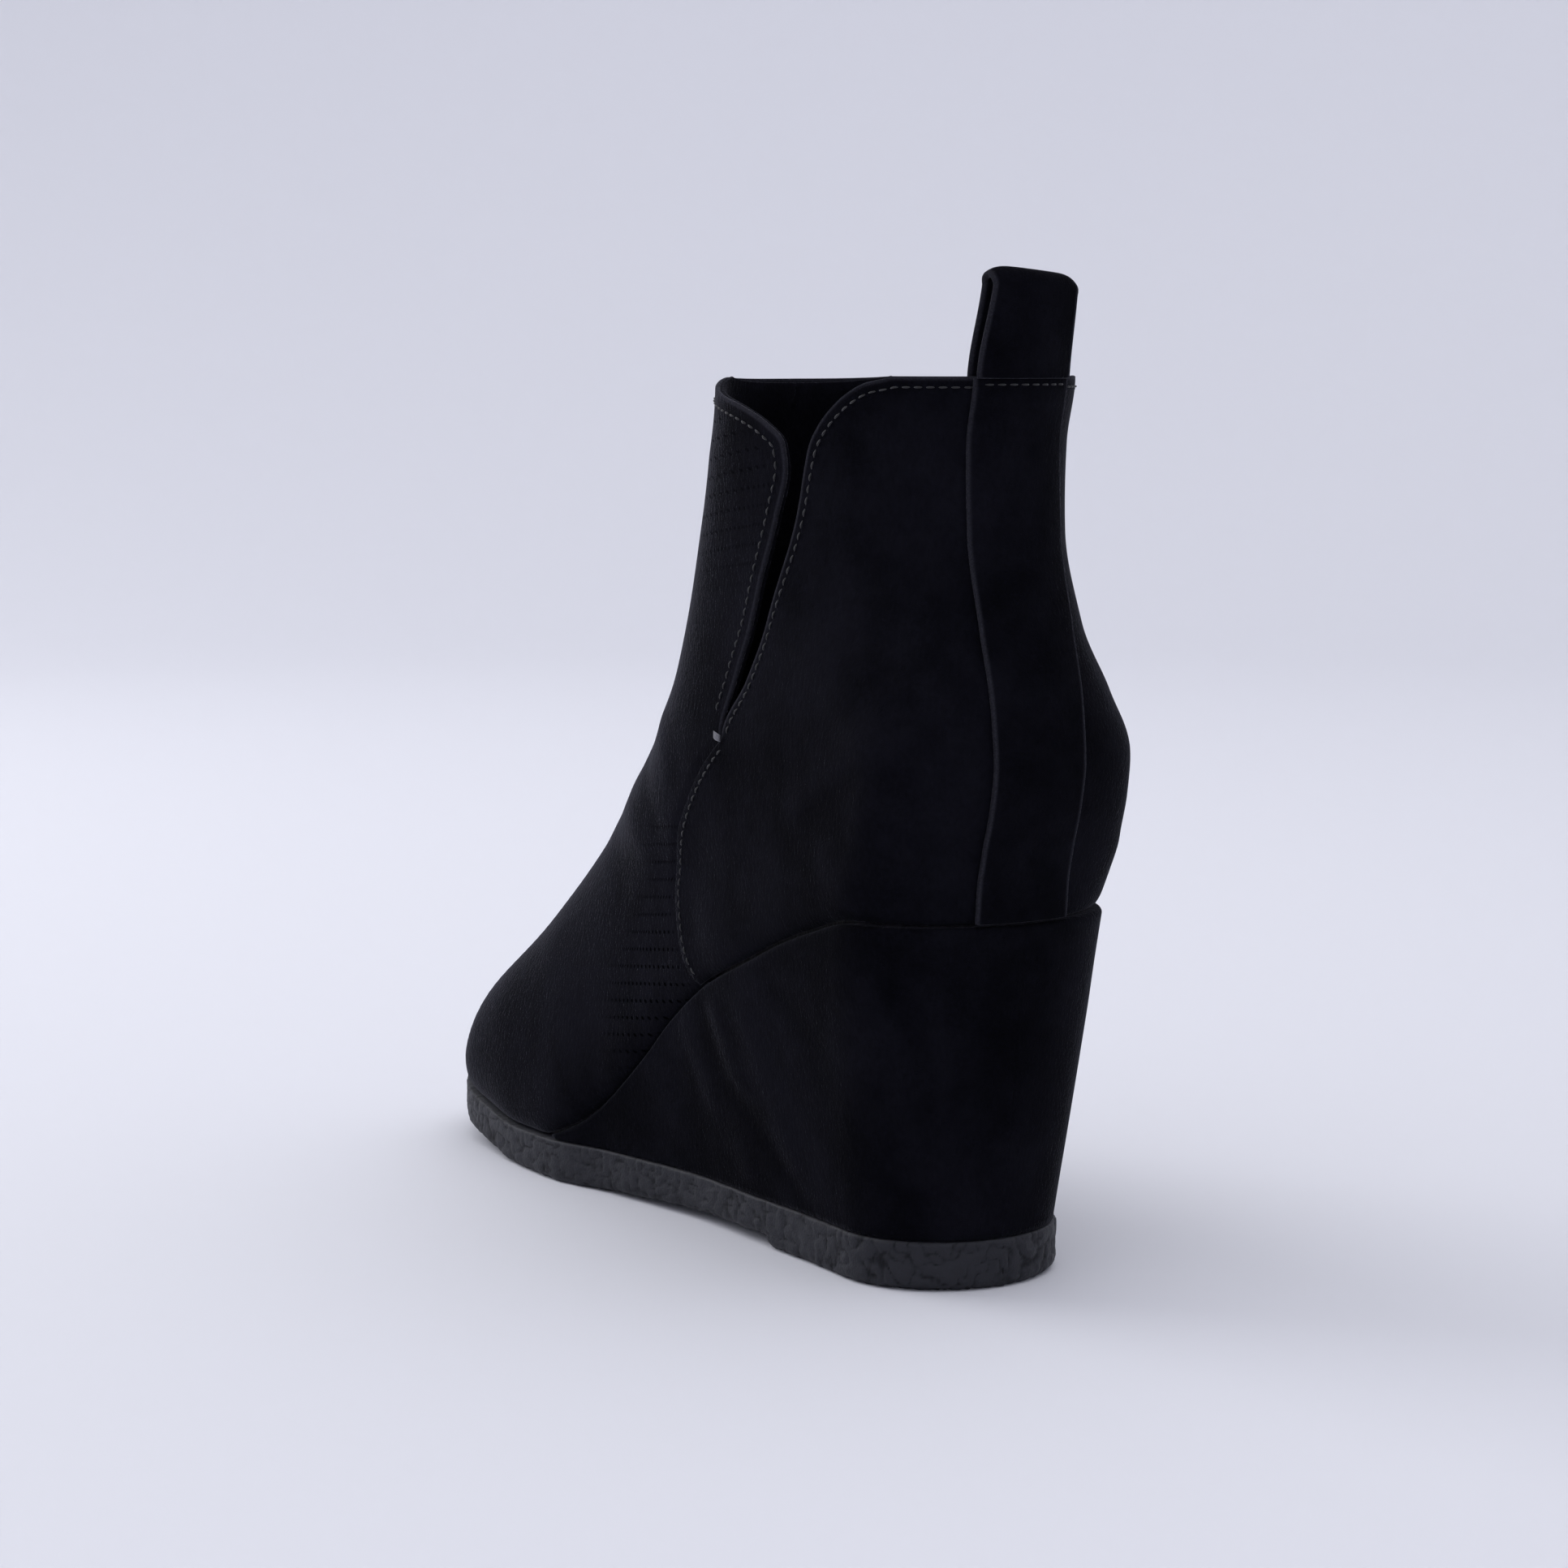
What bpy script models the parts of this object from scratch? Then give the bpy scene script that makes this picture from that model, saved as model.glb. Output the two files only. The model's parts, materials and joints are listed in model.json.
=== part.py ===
"""Wedge ankle boot for the right foot, empty and standing on its sole.

Metres, +Z up, toe towards -Y, wearer's left (the inner side of this right boot) towards +X. The origin is
the middle of the heel's flat spot on the floor. Most shapes are worked out in the boot's side view, where
"forward" is the distance from the rear edge of the sole and "up" the height above the floor.
"""
import bmesh
import bpy
import numpy as np

# Driving dimensions of the last and the sole
SOLE_LENGTH = 0.2315
BALL_WIDTH = 0.0785
HEEL_WIDTH = 0.0545
OUTSOLE_THICKNESS = 0.0114
HEEL_STEP = 0.0025
TOE_SPRING = 0.0090
SOLE_EDGE_RADIUS = 0.0025
TOE_RADIUS = 0.0330
TOE_SWING = 0.0045
HEEL_RADIUS = 0.0255
HEEL_SPOT_FORWARD = 0.0300

# Driving dimensions of the wedge
HEEL_SEAT_HEIGHT = 0.0845
HEEL_LEAN = 0.0085
HEEL_SEAT_FLARE = 0.0076
WEDGE_END = 0.1485
WEDGE_LEDGE = 0.0012
WEDGE_INSET = 0.0004
WEDGE_EDGE_RADIUS = 0.0010

# Driving dimensions of the upper
COLLAR_HEIGHT = 0.2051
COLLAR_FORWARD = 0.0915
COLLAR_DIP = 0.0011
ANKLE_WIDTH = 0.0685
HEEL_BULGE = 0.0058
UPPER_TUCK = 0.0010
FOOT_BULGE = 0.0022
FOOT_BULGE_HEIGHT = 0.0120
FOOT_HEIGHT = 0.0500
UPPER_WALL = 0.0022
UPPER_FOOT_BAND = 0.0010
SLIT_DEPTH = 0.0830

# Driving dimensions of the small pieces
INSOLE_THICKNESS = 0.0030
STRIP_WIDTH = 0.0236
STRIP_THICKNESS = 0.0012
LOOP_WIDTH = 0.0228
LOOP_RISE = 0.0245
LOOP_TAIL = 0.0120
LOOP_LEAN = 0.0020
LOOP_THICKNESS = 0.0015
LOOP_SLANT = 0.0022

# Clearances
GAP = 0.0003
LINING_GAP = 0.0006

# Outline of the sole: shares of its length and of its width at that place, inner and outer half
SOLE_SECTIONS = np.array([
    # along, inner, outer
    (0.00, 0.500, 0.500),
    (0.12, 0.490, 0.503),
    (0.25, 0.447, 0.500),
    (0.42, 0.375, 0.446),
    (0.55, 0.404, 0.492),
    (0.65, 0.461, 0.536),
    (0.73, 0.446, 0.531),
    (0.83, 0.400, 0.474),
    (0.92, 0.345, 0.380),
    (1.00, 0.310, 0.318),
])

# Side view of the sole: shares of its length, thickness, heel step and toe spring
SOLE_PROFILE = np.array([
    # along, top, step, spring
    (0.000, 1.00, 0.00, 0.00),
    (0.250, 1.00, 0.00, 0.00),
    (0.262, 1.00, 1.00, 0.00),
    (0.390, 1.00, 0.85, 0.00),
    (0.520, 0.98, 0.40, 0.00),
    (0.620, 0.95, 0.00, 0.00),
    (0.740, 0.91, 0.00, 0.00),
    (0.820, 0.89, 0.00, 0.22),
    (0.907, 0.87, 0.00, 0.48),
    (1.000, 0.86, 0.00, 1.00),
])

# Feather line, where the upper meets the wedge: share of the wedge's height left at each place
FEATHER_RISE = np.array([
    # along, rise
    (-0.06, 1.000),
    (0.05, 1.000),
    (0.13, 0.940),
    (0.19, 0.875),
    (0.25, 0.795),
    (0.35, 0.665),
    (0.42, 0.525),
    (0.475, 0.372),
    (0.54, 0.205),
    (0.595, 0.085),
    (0.64, 0.022),
    (0.67, 0.000),
    (1.10, 0.000),
])

# Top line of the foot and front of the shaft, from the collar down to the toe
RIDGE = np.array([
    # forward as a share of the length, up as a share of the collar height
    (0.395, 1.030),
    (0.397, 0.990),
    (0.414, 0.930),
    (0.438, 0.850),
    (0.468, 0.750),
    (0.506, 0.648),
    (0.556, 0.572),
    (0.635, 0.480),
    (0.727, 0.381),
    (0.812, 0.300),
    (0.886, 0.239),
    (0.948, 0.190),
    (1.000, 0.151),
    (1.048, 0.110),
    (1.085, 0.060),
])

# Roundness of the top line, as a share of the ball width, along the line from the toe to the collar
RIDGE_ROUNDNESS = np.array([
    # along the line, radius
    (0.00, 0.26),
    (0.18, 0.38),
    (0.36, 0.55),
    (0.52, 0.64),
    (0.70, 0.60),
    (1.00, 0.54),
])

# Rear line of the upper, as a share of the heel's bulge, over the height of the shaft
REAR_LINE = np.array([
    # up the shaft, behind the heel seat
    (0.00, -0.10),
    (0.07, -0.05),
    (0.14, 0.25),
    (0.22, 0.74),
    (0.30, 1.00),
    (0.40, 0.90),
    (0.54, 0.42),
    (0.71, -0.31),
    (0.88, -0.48),
    (1.00, -0.08),
])

# Half width of the leg and roundness of its rear, as shares of the ankle's width, over the shaft
LEG_SECTIONS = np.array([
    # up the shaft, half width, rear radius
    (0.00, 0.480, 0.37),
    (0.13, 0.522, 0.27),
    (0.30, 0.525, 0.29),
    (0.42, 0.510, 0.47),
    (0.55, 0.504, 0.82),
    (0.72, 0.508, 1.00),
    (1.00, 0.538, 0.98),
])

# The V cut in each side of the collar: its rear and front edge from the tip up
SLIT_SECTIONS = np.array([
    # up the cut, rear edge, front edge, as shares of the collar's length
    (0.000, 0.722, 0.736),
    (0.160, 0.628, 0.685),
    (0.310, 0.550, 0.622),
    (0.490, 0.485, 0.562),
    (0.630, 0.442, 0.516),
    (0.760, 0.410, 0.477),
    (0.820, 0.391, 0.482),
    (0.875, 0.357, 0.540),
    (0.920, 0.316, 0.640),
    (0.955, 0.275, 0.790),
    (0.982, 0.230, 0.885),
    (1.003, 0.165, 0.945),
    (1.100, 0.165, 0.945),
])

# Line inside the foot and leg from which the front edge is found: along the edge from the toe, forward as a
# share of the length, and how far it is lowered as a share of the edge's height over the toe
SPINE = np.array([
    # along, forward, lowered
    (0.00, 0.82, 0.00),
    (0.15, 0.74, 0.23),
    (0.30, 0.61, 0.45),
    (0.55, 0.38, 0.35),
    (0.80, 0.29, 0.25),
    (1.00, 0.22, 0.00),
])

# Where one form passes into another, as shares of the length, or of the collar's length for its dip
HEEL_TO_BALL = (0.12, 0.55)
FLARE_FADE = (0.65, 0.18)
SWING_START = 0.5
DIP_START = 0.82
LOOP_FLATTER = 0.45
LOOP_TAPER = 0.09

# Powers of the rounded sections: 2 is an ellipse, more is squarer
RIDGE_POWER = 2.5
TOE_POWER = 2.3
REAR_POWER = 2.1
SOLE_TOE_POWER = 2.2

# Mesh density
RING_STATIONS = 33
WEDGE_STATIONS = 29
WEDGE_ROWS = (0.0, 0.3, 0.6, 0.85)
UPPER_ROWS = 22
SOLE_STATIONS = 46
EDGE_ROWS = 4
STRIP_COLUMNS = 7
STRIP_ROWS = 13
LOOP_LEG_ROWS = 4
LOOP_FOLD_ROWS = 9
LOOP_TAIL_ROWS = 6
RIDGE_POINTS = 160
HALVINGS = 30
SLIT_REACH = 0.075
OUTSIDE = 1.25


def curve(rows, x, column=1):
    """Monotone cubic through one column of a table, level beyond its ends."""
    xs = rows[:, 0]
    ys = rows[:, column]
    h = np.diff(xs)
    d = np.diff(ys) / h
    before, after = d[:-1], d[1:]
    w1 = 2 * h[1:] + h[:-1]
    w2 = h[1:] + 2 * h[:-1]
    same = before * after > 0
    low = np.where(same, w1 / np.where(same, before, 1) + w2 / np.where(same, after, 1), 1)
    slopes = np.concatenate([[0], np.where(same, (w1 + w2) / low, 0), [0]])
    x = np.clip(np.asarray(x, float), xs[0], xs[-1])
    i = np.clip(np.searchsorted(xs, x) - 1, 0, len(xs) - 2)
    u = (x - xs[i]) / h[i]
    return ((2 * u**3 - 3 * u**2 + 1) * ys[i] + (u**3 - 2 * u**2 + u) * h[i] * slopes[i]
            + (3 * u**2 - 2 * u**3) * ys[i + 1] + (u**3 - u**2) * h[i] * slopes[i + 1])


def smooth(x):
    """Soft step from 0 to 1."""
    x = np.clip(x, 0, 1)
    return x * x * (3 - 2 * x)


def sole_width(forward):
    """Full width that the outline's shares refer to: the heel's, passing into the ball's."""
    start, end = HEEL_TO_BALL
    return HEEL_WIDTH + (BALL_WIDTH - HEEL_WIDTH) * smooth((forward / SOLE_LENGTH - start) / (end - start))


def sole_half(forward, side):
    """Half width of the sole before its ends are rounded; side is +1 inner, -1 outer."""
    column = 1 if side > 0 else 2
    return sole_width(forward) * curve(SOLE_SECTIONS, forward / SOLE_LENGTH, column)


def sole_outline(forward, side):
    """Half width of the sole with its round heel and toe."""
    toe = np.clip(1 - (SOLE_LENGTH - forward) / TOE_RADIUS, 0, 1)
    heel = np.clip(1 - forward / HEEL_RADIUS, 0, 1)
    return sole_half(forward, side) * np.sqrt(np.maximum(1 - toe**SOLE_TOE_POWER - heel**2, 0))


def sole_bottom(forward):
    """Height of the sole's underside: flat heel, low arch, flat ball, toe spring."""
    along = forward / SOLE_LENGTH
    return HEEL_STEP * curve(SOLE_PROFILE, along, 2) + TOE_SPRING * curve(SOLE_PROFILE, along, 3)


def sole_top(forward):
    """Height of the sole's top."""
    along = forward / SOLE_LENGTH
    return OUTSOLE_THICKNESS * curve(SOLE_PROFILE, along, 1) + TOE_SPRING * curve(SOLE_PROFILE, along, 3)


def feather(forward):
    """Height of the line on which the upper stands: the wedge's top, then the sole's."""
    rise = curve(FEATHER_RISE, forward / SOLE_LENGTH)
    return sole_top(forward) + rise * (HEEL_SEAT_HEIGHT - OUTSOLE_THICKNESS)


def up_shaft(up):
    """Share of the way from the heel seat to the collar."""
    return (up - HEEL_SEAT_HEIGHT) / (COLLAR_HEIGHT - HEEL_SEAT_HEIGHT)


def rear(up):
    """Rear centre line of the upper."""
    return -HEEL_LEAN + UPPER_TUCK - HEEL_BULGE * curve(REAR_LINE, up_shaft(up))


def ridge_line():
    """Points of the top line, from the collar to the toe, and how far each is from the toe."""
    rows = RIDGE * (SOLE_LENGTH, COLLAR_HEIGHT)
    steps = np.concatenate([[0], np.cumsum(np.hypot(*np.diff(rows, axis=0).T))])
    at = np.linspace(0, steps[-1], RIDGE_POINTS)
    line = np.stack([curve(np.stack([steps, rows[:, i]], 1), at) for i in (0, 1)], 1)
    return line, 1 - at / steps[-1]


def upper_section(forward, up, side):
    """Half width of the upper's outside at a place in the side view, and how far inside the form it is.

    The full width is rounded off towards the top line, the toe and the rear: half = full * sqrt(inside),
    with inside = 1 - top^p - toe^q - rear^r, and each term falling from 1 at its line to 0 a radius away.
    """
    line, along = ridge_line()
    away = np.stack([forward, up], -1)[..., None, :] - line
    nearest = (away**2).sum(-1).argmin(-1)
    run = np.gradient(line, axis=0)
    run /= np.hypot(run[:, :1], run[:, 1:])
    offset = np.take_along_axis(away, nearest[..., None, None], -2)[..., 0, :]
    distance = offset[..., 0] * run[nearest, 1] - offset[..., 1] * run[nearest, 0]
    top = np.clip(1 - distance / (BALL_WIDTH * curve(RIDGE_ROUNDNESS, along[nearest])), 0, 9)
    toe = np.clip(1 - (SOLE_LENGTH - forward) / TOE_RADIUS, 0, 9)
    radius = ANKLE_WIDTH * curve(LEG_SECTIONS, up_shaft(up), 2)
    back = np.clip(1 - (forward - rear(up)) / radius, 0, 9)
    inside = 1 - top**RIDGE_POWER - toe**TOE_POWER - back**REAR_POWER
    return upper_full(forward, up, side) * np.sqrt(np.maximum(inside, 0)), inside


def upper_full(forward, up, side):
    """Full half width: the foot's above the feather line, passing into the leg's higher up."""
    above = np.clip(up - feather(forward), 0, None)
    start, end = FLARE_FADE
    flare = HEEL_SEAT_FLARE * smooth((start - forward / SOLE_LENGTH) / (start - end))
    bulge = FOOT_BULGE * (1 - (1 - np.clip(above / FOOT_BULGE_HEIGHT, 0, 1))**2)
    foot = sole_half(forward, side) + flare - UPPER_TUCK + bulge
    leg = ANKLE_WIDTH * curve(LEG_SECTIONS, up_shaft(up), 1)
    share = smooth(above / FOOT_HEIGHT)
    return foot * (1 - share) + leg * share


def rear_at(sideways, up):
    """Forward place of the upper's outside near the rear, at a sideways distance from the middle."""
    radius = ANKLE_WIDTH * curve(LEG_SECTIONS, up_shaft(up), 2)
    forward = rear(up)
    for _ in range(3):
        full = np.where(sideways > 0, upper_full(forward, up, 1), upper_full(forward, up, -1))
        turn = (1 - np.clip(sideways / full, -1, 1)**2) ** (1 / REAR_POWER)
        forward = rear(up) + radius * (1 - turn)
    return forward


def world(sideways, forward, up):
    """Points of the world frame from side-view coordinates; the toe swings to the inner side."""
    swing = TOE_SWING * smooth((forward / SOLE_LENGTH - SWING_START) / (1 - SWING_START))
    return np.stack(np.broadcast_arrays(sideways + swing, HEEL_SPOT_FORWARD - forward, up), -1)


def ends_dense(count):
    """Shares from 0 to 1, closer together at both ends, where the form is round."""
    return 0.5 - 0.5 * np.cos(np.linspace(0, np.pi, count))


def add_object(name, collection, points, faces, material=None):
    """A mesh object from points and faces, with doubled points merged and normals set outwards."""
    mesh = bpy.data.meshes.new(name)
    mesh.from_pydata(points.reshape(-1, 3).tolist(), [], faces)
    work = bmesh.new()
    work.from_mesh(mesh)
    bmesh.ops.remove_doubles(work, verts=work.verts, dist=1e-6)
    bmesh.ops.dissolve_degenerate(work, edges=work.edges, dist=1e-6)
    bmesh.ops.recalc_face_normals(work, faces=work.faces)
    if work.calc_volume(signed=True) < 0:
        bmesh.ops.reverse_faces(work, faces=work.faces)
    work.to_mesh(mesh)
    work.free()
    if material:
        mesh.materials.append(material)
    item = bpy.data.objects.new(name, mesh)
    collection.objects.link(item)
    mesh.shade_smooth()
    mesh.set_sharp_from_angle(angle=np.radians(40))
    return item


def quads(rows, columns, closed):
    """Faces of a grid of points, joined round from the last column to the first if closed."""
    last = columns if closed else columns - 1
    return [(r * columns + c, r * columns + (c + 1) % columns,
             (r + 1) * columns + (c + 1) % columns, (r + 1) * columns + c)
            for r in range(rows - 1) for c in range(last)]


def ring_solid(name, collection, inner, outer, material):
    """Closed solid from matching inner-side and outer-side rows, each of shape (rows, stations, 3).

    The two sides make a wall all round, and straight rungs between them make its floor and its top.
    """
    rows, stations = inner.shape[:2]
    points = np.concatenate([inner, outer[:, ::-1]], 1)
    columns = 2 * stations
    faces = quads(rows, columns, True)
    for row in (0, rows - 1):
        start = row * columns
        faces += [(start + i, start + i + 1, start + columns - 2 - i, start + columns - 1 - i)
                  for i in range(stations - 1)]
    return add_object(name, collection, points, faces, material)


def sole_stations():
    """Forward places of the sole's sections, with the heel's step kept sharp."""
    even = SOLE_LENGTH * ends_dense(SOLE_STATIONS)
    steps = SOLE_LENGTH * SOLE_PROFILE[1:3, 0]
    even = even[np.abs(even[:, None] - steps).min(1) > 0.0015]
    return np.sort(np.concatenate([even, steps]))


def make_outsole(collection, material):
    """Rubber unit sole: straight sides, a rounded lower edge, a step in front of the heel."""
    at = sole_stations()
    turn = np.linspace(0, np.pi / 2, EDGE_ROWS)
    inset = np.append(SOLE_EDGE_RADIUS * (1 - np.sin(turn)), 0)[:, None]
    lift = np.append(SOLE_EDGE_RADIUS * (1 - np.cos(turn)), 0)[:, None]
    up = sole_bottom(at) + lift
    up[-1] = sole_top(at)
    middle = SOLE_LENGTH / 2
    narrow = 1 - inset / middle
    forward = middle + (at - middle) * narrow
    sides = [world(side * np.maximum(sole_outline(at, side) - inset, 0), forward, up) for side in (1, -1)]
    return ring_solid("outsole", collection, *sides, material)


def feather_outline(forward, up, side, out):
    """Outline of the upper at a height, moved outwards in plan: sideways and forward places."""
    half = upper_section(forward, up, side)[0]
    run = np.stack([np.gradient(half), np.gradient(forward)])
    run /= np.hypot(*run)
    return half + out * run[1], forward - out * run[0]


def ring_places(end, count):
    """Forward places from the upper's rear to an end, closer together at the rear."""
    start = rear(HEEL_SEAT_HEIGHT)
    return start + (end - start) * (1 - np.cos(np.linspace(0, np.pi / 2, count)))


def make_wedge(collection, material):
    """Suede-covered wedge, ruled from the sole's outline up to the upper's, with a soft top edge."""
    share = 1 - np.cos(np.linspace(0, np.pi / 2, WEDGE_STATIONS))
    low = WEDGE_INSET + (WEDGE_END - WEDGE_INSET) * share
    high = ring_places(WEDGE_END, WEDGE_STATIONS)
    sides = []
    for side in (1, -1):
        half, forward = feather_outline(high, feather(high) + GAP, side, WEDGE_LEDGE)
        half[0], forward[0] = 0, high[0] - WEDGE_LEDGE
        forward[-1] = WEDGE_END
        base = np.maximum(sole_outline(np.maximum(low - WEDGE_INSET, 0), side) - WEDGE_INSET, 0)
        base[0] = 0
        foot = world(side * base, low, sole_top(low) + GAP)
        head = world(side * half, forward, feather(forward))
        rows = [foot + (head - foot) * q for q in WEDGE_ROWS]
        edge = head.copy()
        thick = head[:, 2] - foot[:, 2]
        edge[:, 2] -= np.minimum(WEDGE_EDGE_RADIUS, (1 - WEDGE_ROWS[-1]) / 2 * thick)
        inner_edge = world(side * np.maximum(half - WEDGE_EDGE_RADIUS, 0), forward, feather(forward))
        inner_edge[0, 1] -= WEDGE_EDGE_RADIUS
        rows += [edge, inner_edge]
        sides.append(np.stack(rows))
    return ring_solid("wedge", collection, *sides, material)


def front_line(share):
    """Front edge of the upper in the side view, from the toe (0) to the collar (1), on the form's outline.

    Rays from a line inside the foot and leg go outwards, and each is halved until it ends on the form.
    """
    line, along = ridge_line()
    toe_up = feather(SOLE_LENGTH) + GAP
    start = np.array([[SOLE_LENGTH, toe_up], [SOLE_LENGTH, toe_up + 0.35 * TOE_RADIUS]])
    end = [COLLAR_FORWARD, collar_up(COLLAR_FORWARD)]
    keep = (along > 0.10) & (line[:, 1] < end[1])
    target = np.concatenate([start, line[keep][::-1], [end]])
    steps = np.concatenate([[0], np.cumsum(np.hypot(*np.diff(target, axis=0).T))])
    at = steps[-1] * share
    goal = np.stack([np.interp(at, steps, target[:, i]) for i in (0, 1)], 1)
    lowered = np.interp(share, SPINE[:, 0], SPINE[:, 2])
    spine = np.stack([SOLE_LENGTH * np.interp(share, SPINE[:, 0], SPINE[:, 1]),
                      goal[:, 1] - (goal[:, 1] - toe_up) * lowered], 1)
    low, high = np.zeros(len(share)), np.full(len(share), OUTSIDE)
    for _ in range(HALVINGS):
        middle = (low + high) / 2
        place = spine + (goal - spine) * middle[:, None]
        within = upper_section(place[:, 0], place[:, 1], 1)[1] > 0
        low, high = np.where(within, middle, low), np.where(within, high, middle)
    return spine + (goal - spine) * low[:, None]


def collar_up(forward):
    """Height of the collar: level, then a soft dip towards the front."""
    start = rear(COLLAR_HEIGHT)
    share = (forward - start) / (COLLAR_FORWARD - start)
    return COLLAR_HEIGHT - COLLAR_DIP * smooth((share - DIP_START) / (1 - DIP_START))


def upper_grid():
    """Side-view places of the upper's grid: rows from the feather line to the collar, rear to front.

    A Coons patch: the four edges are blended so that each row follows feather line and collar.
    """
    t = ends_dense(RING_STATIONS)[None, :, None]
    v = np.linspace(0, 1, UPPER_ROWS)[:, None, None]
    front = front_line(np.linspace(0, 1, UPPER_ROWS))
    rear_up = np.linspace(HEEL_SEAT_HEIGHT + GAP, COLLAR_HEIGHT, UPPER_ROWS)
    back = np.stack([rear(rear_up), rear_up], 1)
    low = back[0, 0] + (front[0, 0] - back[0, 0]) * t[0, :, 0]
    bottom = np.stack([low, feather(low) + GAP], 1)
    high = back[-1, 0] + (front[-1, 0] - back[-1, 0]) * t[0, :, 0]
    top = np.stack([high, collar_up(high)], 1)
    corners = ((1 - t) * (1 - v) * back[0] + t * (1 - v) * front[0]
               + (1 - t) * v * back[-1] + t * v * front[-1])
    return (1 - v) * bottom + v * top + (1 - t) * back[:, None] + t * front[:, None] - corners


def make_upper(collection, cutters, material):
    """Hollow suede upper: an open skin with a real wall, cut open by the V on each side."""
    grid = upper_grid()
    sides = []
    for side in (1, -1):
        half = upper_section(grid[..., 0], grid[..., 1], side)[0]
        half[:, (0, -1)] = 0
        sides.append(world(side * half, grid[..., 0], grid[..., 1]))
    points = np.concatenate([sides[0], sides[1][:, -2:0:-1]], 1)
    points = np.concatenate([points[:1], points[:1] + (0, 0, UPPER_FOOT_BAND), points[1:]])
    rows, columns = points.shape[:2]
    upper = add_object("upper", collection, points, quads(rows, columns, True), material)
    if outward(upper) < 0:
        upper.data.flip_normals()
    wall = upper.modifiers.new("wall", "SOLIDIFY")
    wall.thickness = UPPER_WALL
    wall.offset = -1
    wall.use_even_offset = True
    cut = upper.modifiers.new("V cuts", "BOOLEAN")
    cut.object = make_slit_cutter(cutters)
    cut.operation = "DIFFERENCE"
    cut.solver = "EXACT"
    return upper


def outward(item):
    """Positive where the faces of an upright skin point away from its middle axis."""
    middle = np.mean([tuple(v.co) for v in item.data.vertices], 0)
    return sum((face.center[0] - middle[0]) * face.normal[0] * face.area for face in item.data.polygons)


def make_slit_cutter(collection):
    """Prism through both sides of the collar with the outline of the V cut."""
    up, back, front = SLIT_SECTIONS.T
    length = COLLAR_FORWARD - rear(COLLAR_HEIGHT)
    start = rear(COLLAR_HEIGHT)
    tip = COLLAR_HEIGHT - SLIT_DEPTH
    outline_up = tip + SLIT_DEPTH * np.concatenate([up, up[::-1]])
    outline_forward = start + length * np.concatenate([back, front[::-1]])
    points = np.stack([world(x, outline_forward, outline_up) for x in (-SLIT_REACH, SLIT_REACH)])
    count = points.shape[1]
    faces = quads(2, count, True) + [tuple(range(count)), tuple(range(2 * count - 1, count - 1, -1))]
    cutter = add_object("slit_cutter", collection, points, faces)
    cutter.hide_render = True
    cutter.display_type = "WIRE"
    return cutter


def toe_end(above):
    """Forward end of the upper's outside at a height above the feather line, found by halving."""
    low, high = 0.8 * SOLE_LENGTH, SOLE_LENGTH
    for _ in range(HALVINGS):
        middle = (low + high) / 2
        within = upper_section(np.array(middle), feather(middle) + above, 1)[1] > 0
        low, high = (middle, high) if within else (low, middle)
    return low


def make_insole(collection, material):
    """Thin insole inside the upper's foot, on the wedge and the front of the sole."""
    inset = UPPER_WALL + 2 * LINING_GAP
    above = GAP + INSOLE_THICKNESS
    start, end = rear(HEEL_SEAT_HEIGHT), toe_end(above)
    places = start + (end - start) * ends_dense(RING_STATIONS)
    sides = []
    for side in (1, -1):
        half = np.minimum(upper_section(places, feather(places) + GAP, side)[0],
                          upper_section(places, feather(places) + above, side)[0])
        half, forward = moved_in(half, places, inset)
        sides.append(np.stack([world(side * half, forward, feather(forward) + GAP + lift)
                               for lift in (0, INSOLE_THICKNESS)]))
    return ring_solid("insole", collection, *sides, material)


def moved_in(half, forward, inset):
    """An outline in plan moved inwards, with both ends kept on the middle line."""
    run = np.stack([np.gradient(half), np.gradient(forward)])
    run /= np.hypot(*run)
    inner_forward = forward + inset * run[0]
    inner_half = np.maximum(half - inset * run[1], 0)
    inner_forward[0], inner_forward[-1] = forward[0] + inset, forward[-1] - inset
    inner_half[[0, -1]] = 0
    return inner_half, np.clip(inner_forward, inner_forward[0], inner_forward[-1])


def open_strip(name, collection, sideways, forward, up, thickness, material):
    """A strip as an open grid with its wall added outwards, away from the leg."""
    points = world(sideways, forward, up)
    item = add_object(name, collection, points, quads(*points.shape[:2], False), material)
    wall = item.modifiers.new("wall", "SOLIDIFY")
    wall.thickness = thickness
    wall.use_even_offset = True
    first = item.data.polygons[(points.shape[1] - 1) // 2]
    wall.offset = 1 if first.normal.y > 0 else -1
    return item


def make_back_strip(collection, material):
    """Raised strip over the rear seam, taken from the upper's own rear surface."""
    sideways = np.linspace(-STRIP_WIDTH / 2, STRIP_WIDTH / 2, STRIP_COLUMNS)[None, :]
    up = np.linspace(HEEL_SEAT_HEIGHT + 3 * GAP, COLLAR_HEIGHT - GAP, STRIP_ROWS)[:, None]
    sideways, up = np.broadcast_arrays(sideways, up)
    forward = rear_at(sideways, up) - 2 * GAP
    return open_strip("back_strip", collection, sideways, forward, up, STRIP_THICKNESS, material)


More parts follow.
